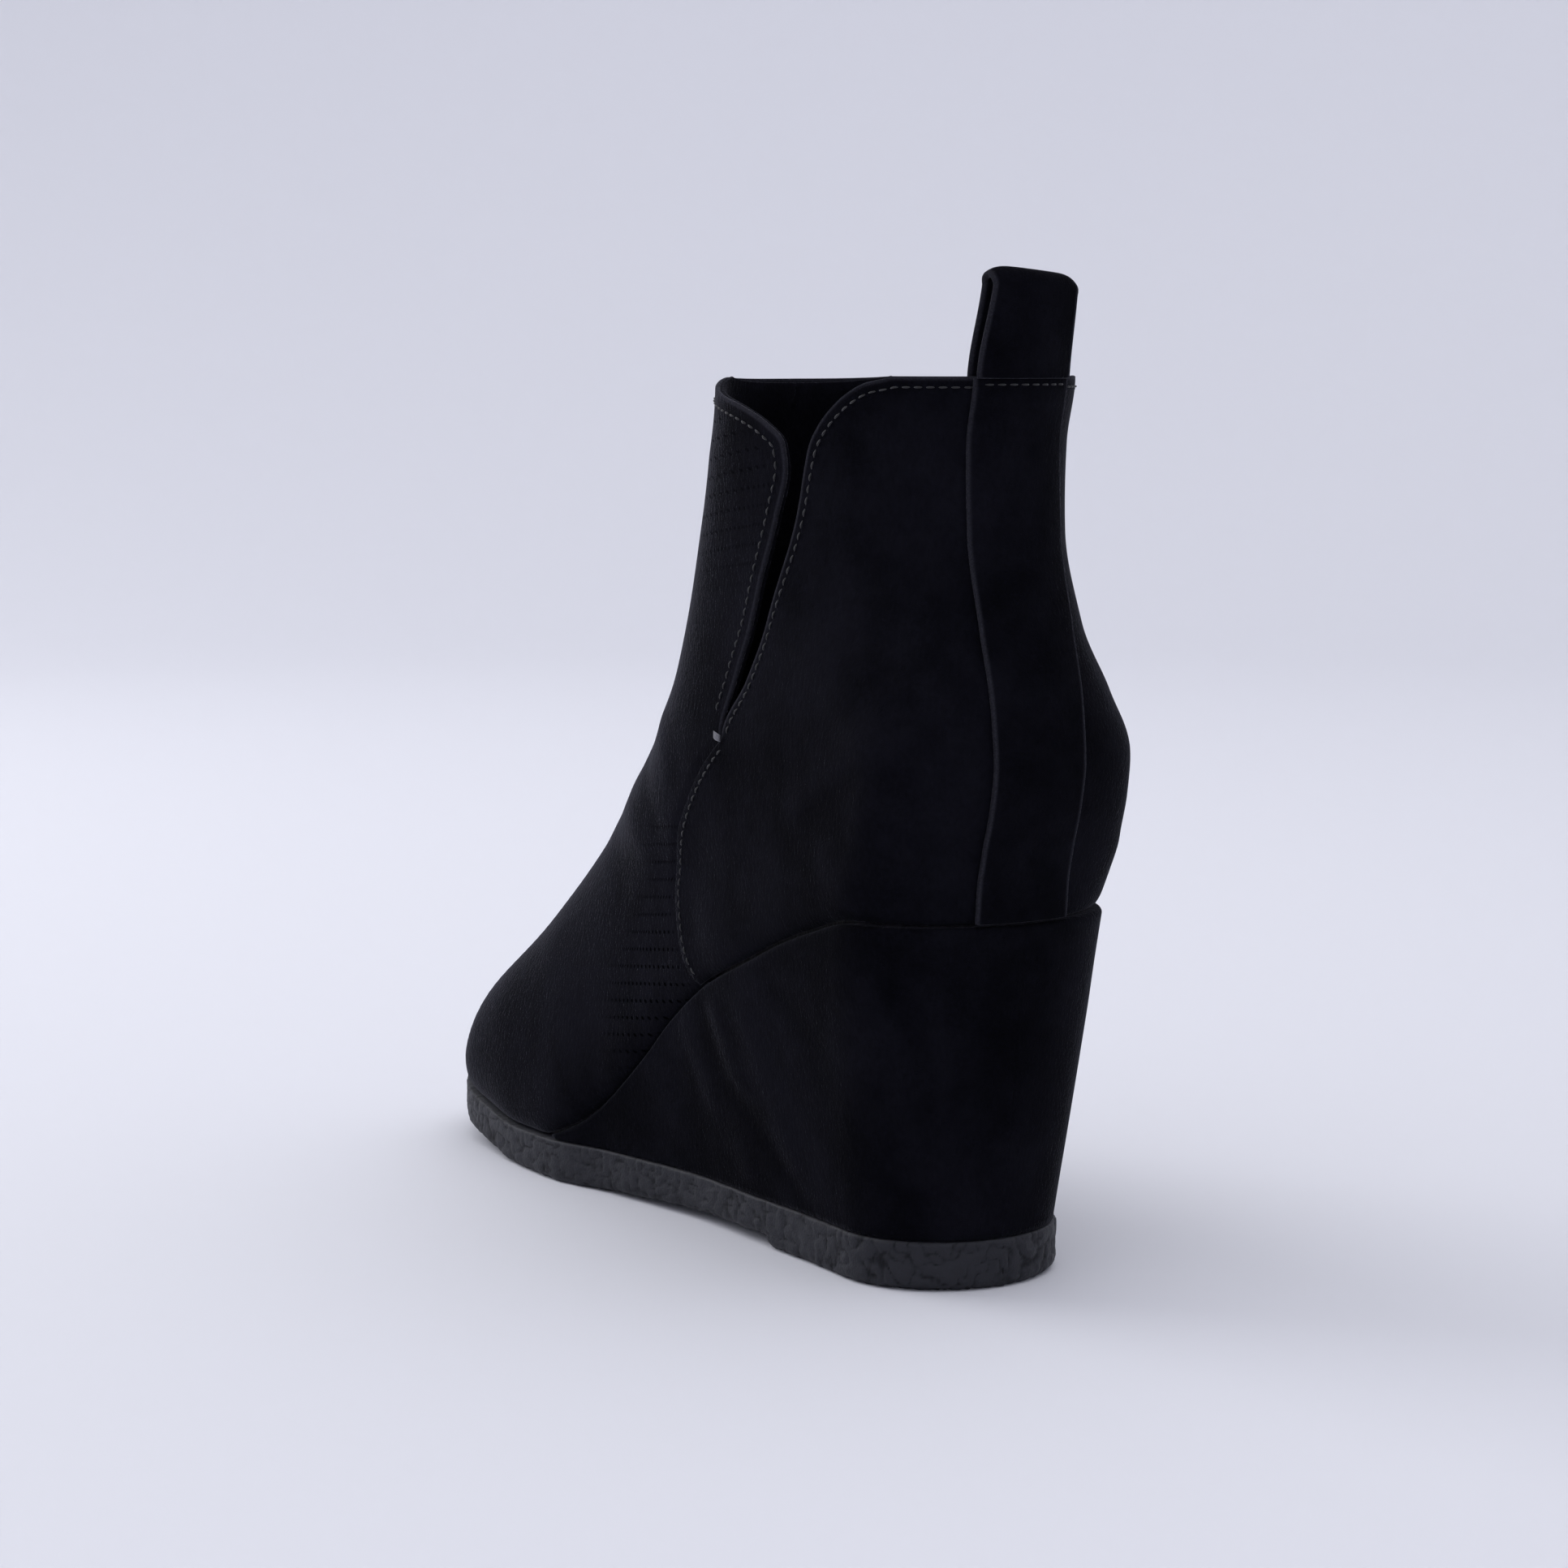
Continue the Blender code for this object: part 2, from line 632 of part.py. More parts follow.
def make_pull_loop(collection, material):
    """Folded loop over the rear of the collar: a tail inside, a fold on top, a leg above the strip.

    It narrows upwards from its inner edge, and its top slopes down to the outer side.
    """
    crotch = (UPPER_WALL + 2 * LINING_GAP) / 2
    fold_up = COLLAR_HEIGHT + LOOP_RISE - LOOP_THICKNESS - crotch
    turn = np.linspace(0, np.pi, LOOP_FOLD_ROWS)
    leg_up = np.linspace(COLLAR_HEIGHT + GAP, fold_up, LOOP_LEG_ROWS + 1)[:-1]
    tail_up = np.linspace(fold_up, COLLAR_HEIGHT - LOOP_TAIL, LOOP_TAIL_ROWS + 1)[1:]
    up = np.concatenate([leg_up, fold_up + crotch * np.sin(turn), tail_up])
    through = crotch * np.concatenate([-np.ones(LOOP_LEG_ROWS), -np.cos(turn), np.ones(LOOP_TAIL_ROWS)])
    sideways = np.linspace(-LOOP_WIDTH / 2, LOOP_WIDTH / 2, STRIP_COLUMNS)[None, :]
    sideways, up = np.broadcast_arrays(sideways, up[:, None])
    surface = rear_at(sideways, np.minimum(up, COLLAR_HEIGHT))
    middle = rear(COLLAR_HEIGHT)
    risen = np.clip((up - COLLAR_HEIGHT) / LOOP_RISE, 0, 1)
    flatter = 1 - LOOP_FLATTER * smooth(risen)
    forward = middle + (surface - middle) * flatter + UPPER_WALL / 2 + through[:, None] - LOOP_LEAN * risen
    from_outer = sideways + LOOP_WIDTH / 2
    up = up - LOOP_SLANT * risen * (1 - from_outer / LOOP_WIDTH)
    sideways = from_outer * (1 - LOOP_TAPER * smooth(risen)) - LOOP_WIDTH / 2
    return open_strip("pull_loop", collection, sideways, forward, up, LOOP_THICKNESS, material)


def make_material(name, color, roughness):
    """A plain dull surface of one colour."""
    material = bpy.data.materials.new(name)
    material.use_nodes = True
    shader = material.node_tree.nodes["Principled BSDF"]
    shader.inputs["Base Color"].default_value = (*color, 1)
    shader.inputs["Roughness"].default_value = roughness
    shader.inputs["Metallic"].default_value = 0
    return material


def main():
    """Build the boot piece by piece from the floor up."""
    for item in list(bpy.data.objects):
        bpy.data.objects.remove(item)
    boot = bpy.data.collections.new("wedge_ankle_boot")
    cutters = bpy.data.collections.new("cutters")
    for collection in (boot, cutters):
        bpy.context.scene.collection.children.link(collection)
    make_outsole(boot, make_material("dark rubber", (0.030, 0.030, 0.036), 0.60))
    make_wedge(boot, make_material("wedge suede", (0.012, 0.012, 0.016), 0.95))
    make_insole(boot, make_material("sock", (0.020, 0.019, 0.021), 0.85))
    make_upper(boot, cutters, make_material("upper suede", (0.013, 0.013, 0.017), 0.95))
    make_back_strip(boot, make_material("strip suede", (0.011, 0.011, 0.015), 0.95))
    make_pull_loop(boot, make_material("loop suede", (0.011, 0.011, 0.015), 0.95))


main()
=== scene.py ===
# %% [markdown]
# # A black wedge ankle boot for the right foot
#
# The boot is a pull-on ankle boot of black microsuede on a high wedge, with a V cut in each side of its
# collar, fine holes in its front, a strip up its heel and a loop to pull it on by. A plain solid model of it
# is the frame: it gives the sizes, and each visible piece is made again over it as a finer surface with its
# own edges, folds, stitches and finish. All shapes are worked out in the boot's side view, where "forward"
# is the distance from the rear edge of the sole and "up" the height above the floor.

# %% The frame
import json

import bpy
import numpy as np
from mathutils import Matrix, Vector

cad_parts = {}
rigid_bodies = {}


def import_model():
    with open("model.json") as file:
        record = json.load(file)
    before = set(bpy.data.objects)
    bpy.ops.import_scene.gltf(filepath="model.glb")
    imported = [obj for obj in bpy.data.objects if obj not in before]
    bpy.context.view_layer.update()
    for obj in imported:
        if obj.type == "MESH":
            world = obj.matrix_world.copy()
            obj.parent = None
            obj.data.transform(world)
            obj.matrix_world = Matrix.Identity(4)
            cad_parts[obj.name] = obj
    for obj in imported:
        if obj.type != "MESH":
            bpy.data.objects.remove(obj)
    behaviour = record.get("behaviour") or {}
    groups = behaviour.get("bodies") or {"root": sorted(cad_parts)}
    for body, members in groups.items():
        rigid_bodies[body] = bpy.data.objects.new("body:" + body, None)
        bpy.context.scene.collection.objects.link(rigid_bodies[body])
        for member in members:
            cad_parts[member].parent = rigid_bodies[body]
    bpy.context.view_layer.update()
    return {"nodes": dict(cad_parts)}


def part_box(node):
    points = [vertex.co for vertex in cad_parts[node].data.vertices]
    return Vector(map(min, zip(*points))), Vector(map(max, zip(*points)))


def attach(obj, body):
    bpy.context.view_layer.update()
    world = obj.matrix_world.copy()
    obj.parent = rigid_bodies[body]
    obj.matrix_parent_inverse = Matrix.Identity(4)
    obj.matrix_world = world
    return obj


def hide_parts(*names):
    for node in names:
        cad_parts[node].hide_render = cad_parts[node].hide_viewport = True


for item in list(bpy.data.objects):
    bpy.data.objects.remove(item)
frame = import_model()
MM = 0.001
print("nodes of the frame:", sorted(frame["nodes"]))

# %% Sizes read from the frame
sole_low, sole_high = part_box("outsole")
HEEL_EDGE = sole_high.y
SOLE_LENGTH = sole_high.y - sole_low.y
COLLAR_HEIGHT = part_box("upper")[1].z
HEEL_SEAT_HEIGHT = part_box("wedge")[1].z
print("sole", round(SOLE_LENGTH, 4), "collar", round(COLLAR_HEIGHT, 4), "heel seat", round(HEEL_SEAT_HEIGHT, 4))

# %% [markdown]
# ## Camera and room
#
# The boot was photographed from behind, on its inner side, with a long lens at about the collar's height. The
# camera is placed from four facts: how far it is turned from the straight back view, how far it looks down,
# its distance, and where the rear end of the sole falls in the image.

# %% Camera
IMAGE_SIDE = 1932
TURN = np.radians(31.41)
TILT = np.radians(6.78)
DISTANCE = 0.83067
PIXELS_PER_METRE = 5430
HEEL_PIXEL = np.array([1235.6, 1587.2])
SENSOR = 36.0


def add_camera():
    """Camera whose axes are right, up and back, turned from the straight back view to the inner side."""
    right = Vector((-np.cos(TURN), np.sin(TURN), 0))
    ahead = Vector((-np.sin(TURN) * np.cos(TILT), -np.cos(TURN) * np.cos(TILT), -np.sin(TILT)))
    upward = right.cross(ahead)
    off_middle = (HEEL_PIXEL - IMAGE_SIDE / 2) / PIXELS_PER_METRE
    place = Vector((0, HEEL_EDGE, 0)) - right * off_middle[0] + upward * off_middle[1] - ahead * DISTANCE
    data = bpy.data.cameras.new("camera")
    data.sensor_width = SENSOR
    data.lens = SENSOR * PIXELS_PER_METRE * DISTANCE / IMAGE_SIDE
    data.clip_start = 0.01
    camera = bpy.data.objects.new("camera", data)
    bpy.context.scene.collection.objects.link(camera)
    camera.matrix_world = Matrix.Translation(place) @ Matrix((right, upward, -ahead)).transposed().to_4x4()
    return camera


bpy.context.scene.camera = add_camera()
print("lens", round(bpy.context.scene.camera.data.lens, 1), "mm")

# %% [markdown]
# A material is a small program of nodes. Written as arithmetic it is easier to read, so one class wraps a
# socket and turns + - * / into Math nodes, and one method adds every other kind of node.


# %% Writing materials
HOLE_BLACK = (0.0003, 0.0003, 0.0005)


class Value:
    """A number that varies over a surface: arithmetic on it adds Math nodes to its material."""

    def __init__(self, finish, socket):
        self.finish = finish
        self.socket = socket

    def maths(self, operation, *values):
        return self.finish.node("ShaderNodeMath", {"operation": operation}, dict(enumerate(values)))

    def __add__(self, other):
        return self.maths("ADD", self, other)

    def __sub__(self, other):
        return self.maths("SUBTRACT", self, other)

    def __rsub__(self, other):
        return self.maths("SUBTRACT", other, self)

    def __mul__(self, other):
        return self.maths("MULTIPLY", self, other)

    def __truediv__(self, other):
        return self.maths("DIVIDE", self, other)

    def __pow__(self, other):
        return self.maths("POWER", self, other)

    __radd__ = __add__
    __rmul__ = __mul__


class Finish:
    """A material in the making: its nodes are added by the methods, and `shader` is its surface."""

    def __init__(self, name, roughness, **constants):
        self.material = bpy.data.materials.new(name)
        self.material.use_nodes = True
        self.tree = self.material.node_tree
        self.shader = self.tree.nodes["Principled BSDF"]
        self.set(self.shader, {"Roughness": roughness, **{k.replace("_", " "): v for k, v in constants.items()}})

    def set(self, node, sockets):
        """Give a node's sockets their values or links, by name or number."""
        for key, value in sockets.items():
            if isinstance(value, Value):
                self.tree.links.new(value.socket, node.inputs[key])
            else:
                node.inputs[key].default_value = value

    def node(self, kind, settings=None, sockets=None, output=0):
        """Add a node: its settings first, with a ramp's stops as pairs of place and grey, then its sockets."""
        node = self.tree.nodes.new(kind)
        for key, value in (settings or {}).items():
            if key == "stops":
                while len(node.color_ramp.elements) < len(value):
                    node.color_ramp.elements.new(0.5)
                for element, (place, grey) in zip(node.color_ramp.elements, value):
                    element.position, element.color = place, (grey, grey, grey, 1)
            else:
                setattr(node, key, value)
        self.set(node, sockets or {})
        return Value(self, node.outputs[output])

    def noise(self, size, detail=2.0, stretch=(1, 1, 1), turn=(0, 0, 0)):
        """Cloudy pattern from 0 to 1 whose lumps are about `size` metres, on the piece's own place."""
        place = self.node("ShaderNodeTexCoord", output=3)
        turned = self.node("ShaderNodeMapping", None, {"Vector": place, "Rotation": turn, "Scale": stretch})
        return self.node("ShaderNodeTexNoise", None, {"Vector": turned, "Scale": 1 / size, "Detail": detail})

    def mark(self, name):
        """A number kept on the mesh's points."""
        return self.node("ShaderNodeAttribute", {"attribute_name": name}, output=2)

    def step(self, value, start, end):
        """Soft step: 0 below start, 1 above end, or the other way round when start is the larger."""
        return self.node("ShaderNodeMapRange", {"interpolation_type": "SMOOTHSTEP"},
                         {"Value": value, "From Min": start, "From Max": end})

    def blend(self, share, first, second):
        """Colour that goes from the first to the second as share goes from 0 to 1."""
        colours = [c if isinstance(c, Value) else (*c, 1) for c in (first, second)]
        return self.node("ShaderNodeMix", {"data_type": "RGBA"}, {0: share, 6: colours[0], 7: colours[1]}, 2)

    def relief(self, height, depth, under=None):
        """Bumps of `depth` metres from a height of 0 to 1, on top of the ones made before."""
        sockets = {"Height": height, "Distance": depth, "Strength": 1.0}
        if under:
            sockets["Normal"] = under
        return self.node("ShaderNodeBump", None, sockets)

    def pierce(self, share):
        """Mix in a black finish that gives nothing back, as inside a hole, as share goes from 0 to 1."""
        black = self.node("ShaderNodeBsdfPrincipled", None, {"Base Color": (*HOLE_BLACK, 1), "Roughness": 1.0,
                                                            "Specular IOR Level": 0.0})
        surface = Value(self, self.shader.outputs[0])
        mixed = self.node("ShaderNodeMixShader", None, {0: share, 1: surface, 2: black})
        self.set(self.tree.nodes["Material Output"], {"Surface": mixed})


# %% [markdown]
# The room is a pale bowl: a flat floor that turns up into a wall far away, so no horizon shows from any
# side. Two wide soft lights stand in it, the brighter one towards the toe, and the pale walls do the rest.

# %% Floor and lights
FLOOR_FLAT = 1.7
FLOOR_TURN = 1.0
WALL_TOP = 2.6
PALE = (0.72, 0.725, 0.775)


def add_floor():
    """Bowl turned about the upright axis: a flat disc, a quarter circle and a wall, as one grid."""
    bend = np.linspace(0, np.pi / 2, 14)
    reach = np.concatenate([[0.0, 0.3, 0.8], FLOOR_FLAT + FLOOR_TURN * np.sin(bend), [FLOOR_FLAT + FLOOR_TURN]])
    height = np.concatenate([[0.0, 0.0, 0.0], FLOOR_TURN * (1 - np.cos(bend)), [WALL_TOP]])
    round_about = np.linspace(0, 2 * np.pi, 97)[:-1]
    points = np.stack([reach[:, None] * np.cos(round_about), reach[:, None] * np.sin(round_about),
                       np.broadcast_to(height[:, None], (len(reach), len(round_about)))], -1)
    rows, columns = points.shape[:2]
    first = np.arange(rows - 1)[:, None] * columns
    now, after = np.arange(columns), (np.arange(columns) + 1) % columns
    faces = np.stack([first + now, first + columns + now, first + columns + after, first + after], -1)
    mesh = bpy.data.meshes.new("floor")
    mesh.from_pydata(points.reshape(-1, 3).tolist(), [], faces.reshape(-1, 4).tolist())
    mesh.shade_smooth()
    floor = bpy.data.objects.new("floor", mesh)
    bpy.context.scene.collection.objects.link(floor)
    finish = Finish("pale floor", 0.9)
    finish.set(finish.shader, {"Base Color": (*PALE, 1)})
    mesh.materials.append(finish.material)


def add_light(name, place, target, size, power, colour):
    """Square area light at a place, facing a target."""
    data = bpy.data.lights.new(name, "AREA")
    data.size = size
    data.energy = power
    data.color = colour
    light = bpy.data.objects.new(name, data)
    bpy.context.scene.collection.objects.link(light)
    turn = (Vector(target) - Vector(place)).to_track_quat("-Z", "Y")
    light.matrix_world = Matrix.Translation(place) @ turn.to_matrix().to_4x4()


BOOT_MIDDLE = (0, -0.07, 0.10)
add_floor()
add_light("toe side", (0.9, -1.5, 1.1), BOOT_MIDDLE, 1.2, 14, (1.0, 1.0, 1.0))
add_light("above", (-0.1, -0.1, 2.2), BOOT_MIDDLE, 2.2, 5, (0.98, 0.985, 1.0))
world = bpy.data.worlds.new("pale room")
bpy.context.scene.world = world
world.use_nodes = True
world.node_tree.nodes["Background"].inputs["Color"].default_value = (0.86, 0.865, 0.90, 1)
world.node_tree.nodes["Background"].inputs["Strength"].default_value = 1.17
bpy.context.scene.view_settings.view_transform = "Standard"

# %% [markdown]
# ## The form of the foot
#
# A shoemaker works over a last. Here the last is a set of side-view formulas, the same ones that made the
# solid model: a table of shares and a smooth curve through it for each line, and a half width at any place
# of the side view. Working from formulas and not from the model's triangles gives a surface of any fineness.

# %% Outlines as shares of the boot's sizes
BALL_WIDTH = 0.0785
HEEL_WIDTH = 0.0545
OUTSOLE_THICKNESS = 0.0114
HEEL_STEP = 0.0025
TOE_SPRING = 0.0090
SOLE_EDGE_RADIUS = 0.0025
TOE_RADIUS = 0.0330
TOE_SWING = 0.0045
HEEL_RADIUS = 0.0255
HEEL_LEAN = 0.0085
HEEL_SEAT_FLARE = 0.0076
WEDGE_END = 0.1485
WEDGE_LEDGE = 0.0012
WEDGE_INSET = 0.0004
COLLAR_FORWARD = 0.0915
COLLAR_DIP = 0.0011
ANKLE_WIDTH = 0.0685
HEEL_BULGE = 0.0058
UPPER_TUCK = 0.0010
FOOT_BULGE = 0.0022
FOOT_BULGE_HEIGHT = 0.0120
FOOT_HEIGHT = 0.0500
SLIT_DEPTH = 0.0830
GAP = 0.0003

# along, inner half width, outer half width
SOLE_SECTIONS = np.array([
    (0.00, 0.500, 0.500), (0.12, 0.490, 0.503), (0.25, 0.447, 0.500), (0.42, 0.375, 0.446), (0.55, 0.404, 0.492),
    (0.65, 0.461, 0.536), (0.73, 0.446, 0.531), (0.83, 0.400, 0.474), (0.92, 0.345, 0.380), (1.00, 0.310, 0.318)])
# along, thickness, heel step, toe spring
SOLE_PROFILE = np.array([
    (0.000, 1.00, 0.00, 0.00), (0.250, 1.00, 0.00, 0.00), (0.262, 1.00, 1.00, 0.00), (0.390, 1.00, 0.85, 0.00),
    (0.520, 0.98, 0.40, 0.00), (0.620, 0.95, 0.00, 0.00), (0.740, 0.91, 0.00, 0.00), (0.820, 0.89, 0.00, 0.22),
    (0.907, 0.87, 0.00, 0.48), (1.000, 0.86, 0.00, 1.00)])
# along, share of the wedge's height that is left
FEATHER_RISE = np.array([
    (-0.06, 1.000), (0.05, 1.000), (0.13, 0.940), (0.19, 0.875), (0.25, 0.795), (0.35, 0.665), (0.42, 0.525),
    (0.475, 0.372), (0.54, 0.205), (0.595, 0.085), (0.64, 0.022), (0.67, 0.000), (1.10, 0.000)])
# top line from the collar to the toe: forward as a share of the length, up as a share of the collar's height
RIDGE = np.array([
    (0.395, 1.030), (0.397, 0.990), (0.414, 0.930), (0.438, 0.850), (0.468, 0.750), (0.506, 0.648), (0.556, 0.572),
    (0.635, 0.480), (0.727, 0.381), (0.812, 0.300), (0.886, 0.239), (0.948, 0.190), (1.000, 0.151), (1.048, 0.110),
    (1.085, 0.060)])
# along the top line from the toe, its roundness as a share of the ball width
RIDGE_ROUNDNESS = np.array([(0.00, 0.26), (0.18, 0.38), (0.36, 0.55), (0.52, 0.64), (0.70, 0.60), (1.00, 0.54)])
# up the shaft, how far the rear stands out as a share of the heel's bulge
REAR_LINE = np.array([
    (0.00, -0.10), (0.07, -0.05), (0.14, 0.25), (0.22, 0.74), (0.30, 1.00), (0.40, 0.90), (0.54, 0.42),
    (0.71, -0.31), (0.88, -0.48), (1.00, -0.08)])
# up the shaft, half width and roundness of the rear as shares of the ankle's width
LEG_SECTIONS = np.array([
    (0.00, 0.480, 0.37), (0.13, 0.522, 0.27), (0.30, 0.525, 0.29), (0.42, 0.510, 0.47), (0.55, 0.504, 0.82),
    (0.72, 0.508, 1.00), (1.00, 0.538, 0.98)])
# up the V cut, its rear and its front edge as shares of the collar's length
SLIT_SECTIONS = np.array([
    (0.000, 0.722, 0.736), (0.160, 0.628, 0.685), (0.310, 0.550, 0.622), (0.490, 0.485, 0.562),
    (0.630, 0.442, 0.516), (0.760, 0.410, 0.477), (0.820, 0.391, 0.482), (0.875, 0.357, 0.540),
    (0.920, 0.316, 0.640), (0.955, 0.275, 0.790), (0.982, 0.230, 0.885), (1.003, 0.165, 0.945)])
RIDGE_POWER, TOE_POWER, REAR_POWER, SOLE_TOE_POWER = 2.5, 2.3, 2.1, 2.2
INNER, OUTER = 1, -1


# %% Smooth curves and soft steps
def curve(rows, x, column=1):
    """Monotone cubic through one column of a table, level beyond its ends."""
    xs, ys = rows[:, 0], rows[:, column]
    h = np.diff(xs)
    d = np.diff(ys) / h
    before, after = d[:-1], d[1:]
    w1, w2 = 2 * h[1:] + h[:-1], h[1:] + 2 * h[:-1]
    same = before * after > 0
    low = np.where(same, w1 / np.where(same, before, 1) + w2 / np.where(same, after, 1), 1)
    slopes = np.concatenate([[0], np.where(same, (w1 + w2) / low, 0), [0]])
    x = np.clip(np.asarray(x, float), xs[0], xs[-1])
    i = np.clip(np.searchsorted(xs, x) - 1, 0, len(xs) - 2)
    u = (x - xs[i]) / h[i]
    return ((2 * u**3 - 3 * u**2 + 1) * ys[i] + (u**3 - 2 * u**2 + u) * h[i] * slopes[i]
            + (3 * u**2 - 2 * u**3) * ys[i + 1] + (u**3 - u**2) * h[i] * slopes[i + 1])


def soft(x):
    """Soft step: x held between 0 and 1, then 3x^2 - 2x^3."""
    x = np.clip(x, 0, 1)
    return x * x * (3 - 2 * x)


def lengths(line):
    """Distance along a line of points, from its first point."""
    return np.concatenate([[0], np.cumsum(np.linalg.norm(np.diff(line, axis=0), axis=1))])


def along(line, share):
    """Places on a line of points at shares of its length."""
    far = lengths(line)
    return np.stack([np.interp(np.asarray(share) * far[-1], far, line[:, i]) for i in range(line.shape[1])], -1)


def smooth_line(rows, count):
    """Even points on a smooth curve through a few given points."""
    far = lengths(rows)
    at = np.linspace(0, far[-1], count)
    return np.stack([curve(np.stack([far, rows[:, i]], 1), at) for i in range(rows.shape[1])], -1)


# %% Lines of the sole and of the upper
def sole_half(forward, side):
    """Half width of the sole before its ends are rounded: shares of a width that passes from heel to ball."""
    width = HEEL_WIDTH + (BALL_WIDTH - HEEL_WIDTH) * soft((forward / SOLE_LENGTH - 0.12) / 0.43)
    return width * curve(SOLE_SECTIONS, forward / SOLE_LENGTH, 1 if side == INNER else 2)


def sole_outline(forward, side):
    """Half width of the sole: times the root of 1 - toe^2.2 - heel^2, terms that grow towards the ends."""
    toe = np.clip(1 - (SOLE_LENGTH - forward) / TOE_RADIUS, 0, 1)
    heel = np.clip(1 - forward / HEEL_RADIUS, 0, 1)
    return sole_half(forward, side) * np.sqrt(np.maximum(1 - toe**SOLE_TOE_POWER - heel**2, 0))


def sole_bottom(forward):
    """Height of the underside: the heel step's share plus the toe spring's share."""
    return (HEEL_STEP * curve(SOLE_PROFILE, forward / SOLE_LENGTH, 2)
            + TOE_SPRING * curve(SOLE_PROFILE, forward / SOLE_LENGTH, 3))


def sole_top(forward):
    """Height of the sole's top: the thickness's share plus the toe spring's share."""
    return (OUTSOLE_THICKNESS * curve(SOLE_PROFILE, forward / SOLE_LENGTH, 1)
            + TOE_SPRING * curve(SOLE_PROFILE, forward / SOLE_LENGTH, 3))


def feather(forward):
    """Height of the line the upper stands on: the sole's top plus what is left of the wedge's height."""
    return sole_top(forward) + curve(FEATHER_RISE, forward / SOLE_LENGTH) * (HEEL_SEAT_HEIGHT - OUTSOLE_THICKNESS)


def up_shaft(up):
    """Share of the way from the heel seat to the collar."""
    return (up - HEEL_SEAT_HEIGHT) / (COLLAR_HEIGHT - HEEL_SEAT_HEIGHT)


def rear(up):
    """Rear centre line of the upper: the leaning heel less the bulge's share."""
    return UPPER_TUCK - HEEL_LEAN - HEEL_BULGE * curve(REAR_LINE, up_shaft(up))


ridge = smooth_line(RIDGE * (SOLE_LENGTH, COLLAR_HEIGHT), 160)
ridge_share = 1 - lengths(ridge) / lengths(ridge)[-1]
ridge_run = np.gradient(ridge, axis=0)
ridge_run /= np.hypot(ridge_run[:, :1], ridge_run[:, 1:])


def upper_full(forward, up, side):
    """Full half width: the foot's just above the feather line, blended into the leg's 50 mm higher up."""
    above = np.clip(up - feather(forward), 0, None)
    flare = HEEL_SEAT_FLARE * soft((0.65 - forward / SOLE_LENGTH) / 0.47)
    bulge = FOOT_BULGE * (1 - (1 - np.clip(above / FOOT_BULGE_HEIGHT, 0, 1))**2)
    foot = sole_half(forward, side) + flare - UPPER_TUCK + bulge
    share = soft(above / FOOT_HEIGHT)
    return foot * (1 - share) + ANKLE_WIDTH * curve(LEG_SECTIONS, up_shaft(up), 1) * share


def upper_section(forward, up, side):
    """Half width of the upper and how far inside its outline a place is.

    half = full * sqrt(inside), inside = 1 - top^2.5 - toe^2.3 - rear^2.1, where each term is 1 on its own
    line and falls to 0 a radius away from it. The distance to the top line is taken square to it.
    """
    away = np.stack([forward, up], -1)[..., None, :] - ridge
    nearest = (away**2).sum(-1).argmin(-1)
    offset = np.take_along_axis(away, nearest[..., None, None], -2)[..., 0, :]
    distance = offset[..., 0] * ridge_run[nearest, 1] - offset[..., 1] * ridge_run[nearest, 0]
    top = np.clip(1 - distance / (BALL_WIDTH * curve(RIDGE_ROUNDNESS, ridge_share[nearest])), 0, 9)
    toe = np.clip(1 - (SOLE_LENGTH - forward) / TOE_RADIUS, 0, 9)
    radius = ANKLE_WIDTH * curve(LEG_SECTIONS, up_shaft(up), 2)
    back = np.clip(1 - (forward - rear(up)) / radius, 0, 9)
    inside = 1 - top**RIDGE_POWER - toe**TOE_POWER - back**REAR_POWER
    return upper_full(forward, up, side) * np.sqrt(np.maximum(inside, 0)), inside


def place(sideways, forward, up):
    """Points of the boot from side-view places; the toe swings to the inner side."""
    swing = TOE_SWING * soft((forward / SOLE_LENGTH - 0.5) / 0.5)
    return np.stack(np.broadcast_arrays(sideways + swing, HEEL_EDGE - forward, up), -1)


# %% [markdown]
# ## Turning a grid of points into a piece of suede
#
# Suede is a sheet about a millimetre thick with a soft cut edge. Solidify would give it a wall with a
# sharp rim, so the wall is made here: the grid, the same grid a wall further in, and a half-round rim
# between them. Marks on the points say how far each is from the cut edge, and the material reads them.


# %% Faces, normals and meshes
def quads(rows, columns):
    """Corner numbers of a grid's faces, each point with its neighbours to the right and above."""
    first = (np.arange(rows - 1)[:, None] * columns + np.arange(columns - 1)).ravel()
    return np.stack([first, first + 1, first + columns + 1, first + columns], -1)


THIN_CORNER = 0.2


def normals(points):
    """Unit normals of a grid: its run along a row crossed with its run from row to row.

    In a corner so thin that the two runs are nearly parallel, each takes the normal next to it towards the
    middle of its row.
    """
    along_row, upward = np.gradient(points, axis=1), np.gradient(points, axis=0)
    across = np.cross(along_row, upward)
    size = np.linalg.norm(across, axis=-1)
    thin = size < THIN_CORNER * np.linalg.norm(along_row, axis=-1) * np.linalg.norm(upward, axis=-1)
    direction = across / np.maximum(size, 1e-12)[..., None]
    middle, last = points.shape[1] // 2, points.shape[1]
    for columns, inward in ((range(middle - 1, -1, -1), 1), (range(middle + 1, last), -1)):
        for column in columns:
            neighbour = direction[:, column + inward]
            direction[:, column] = np.where(thin[:, column, None], neighbour, direction[:, column])
    return direction


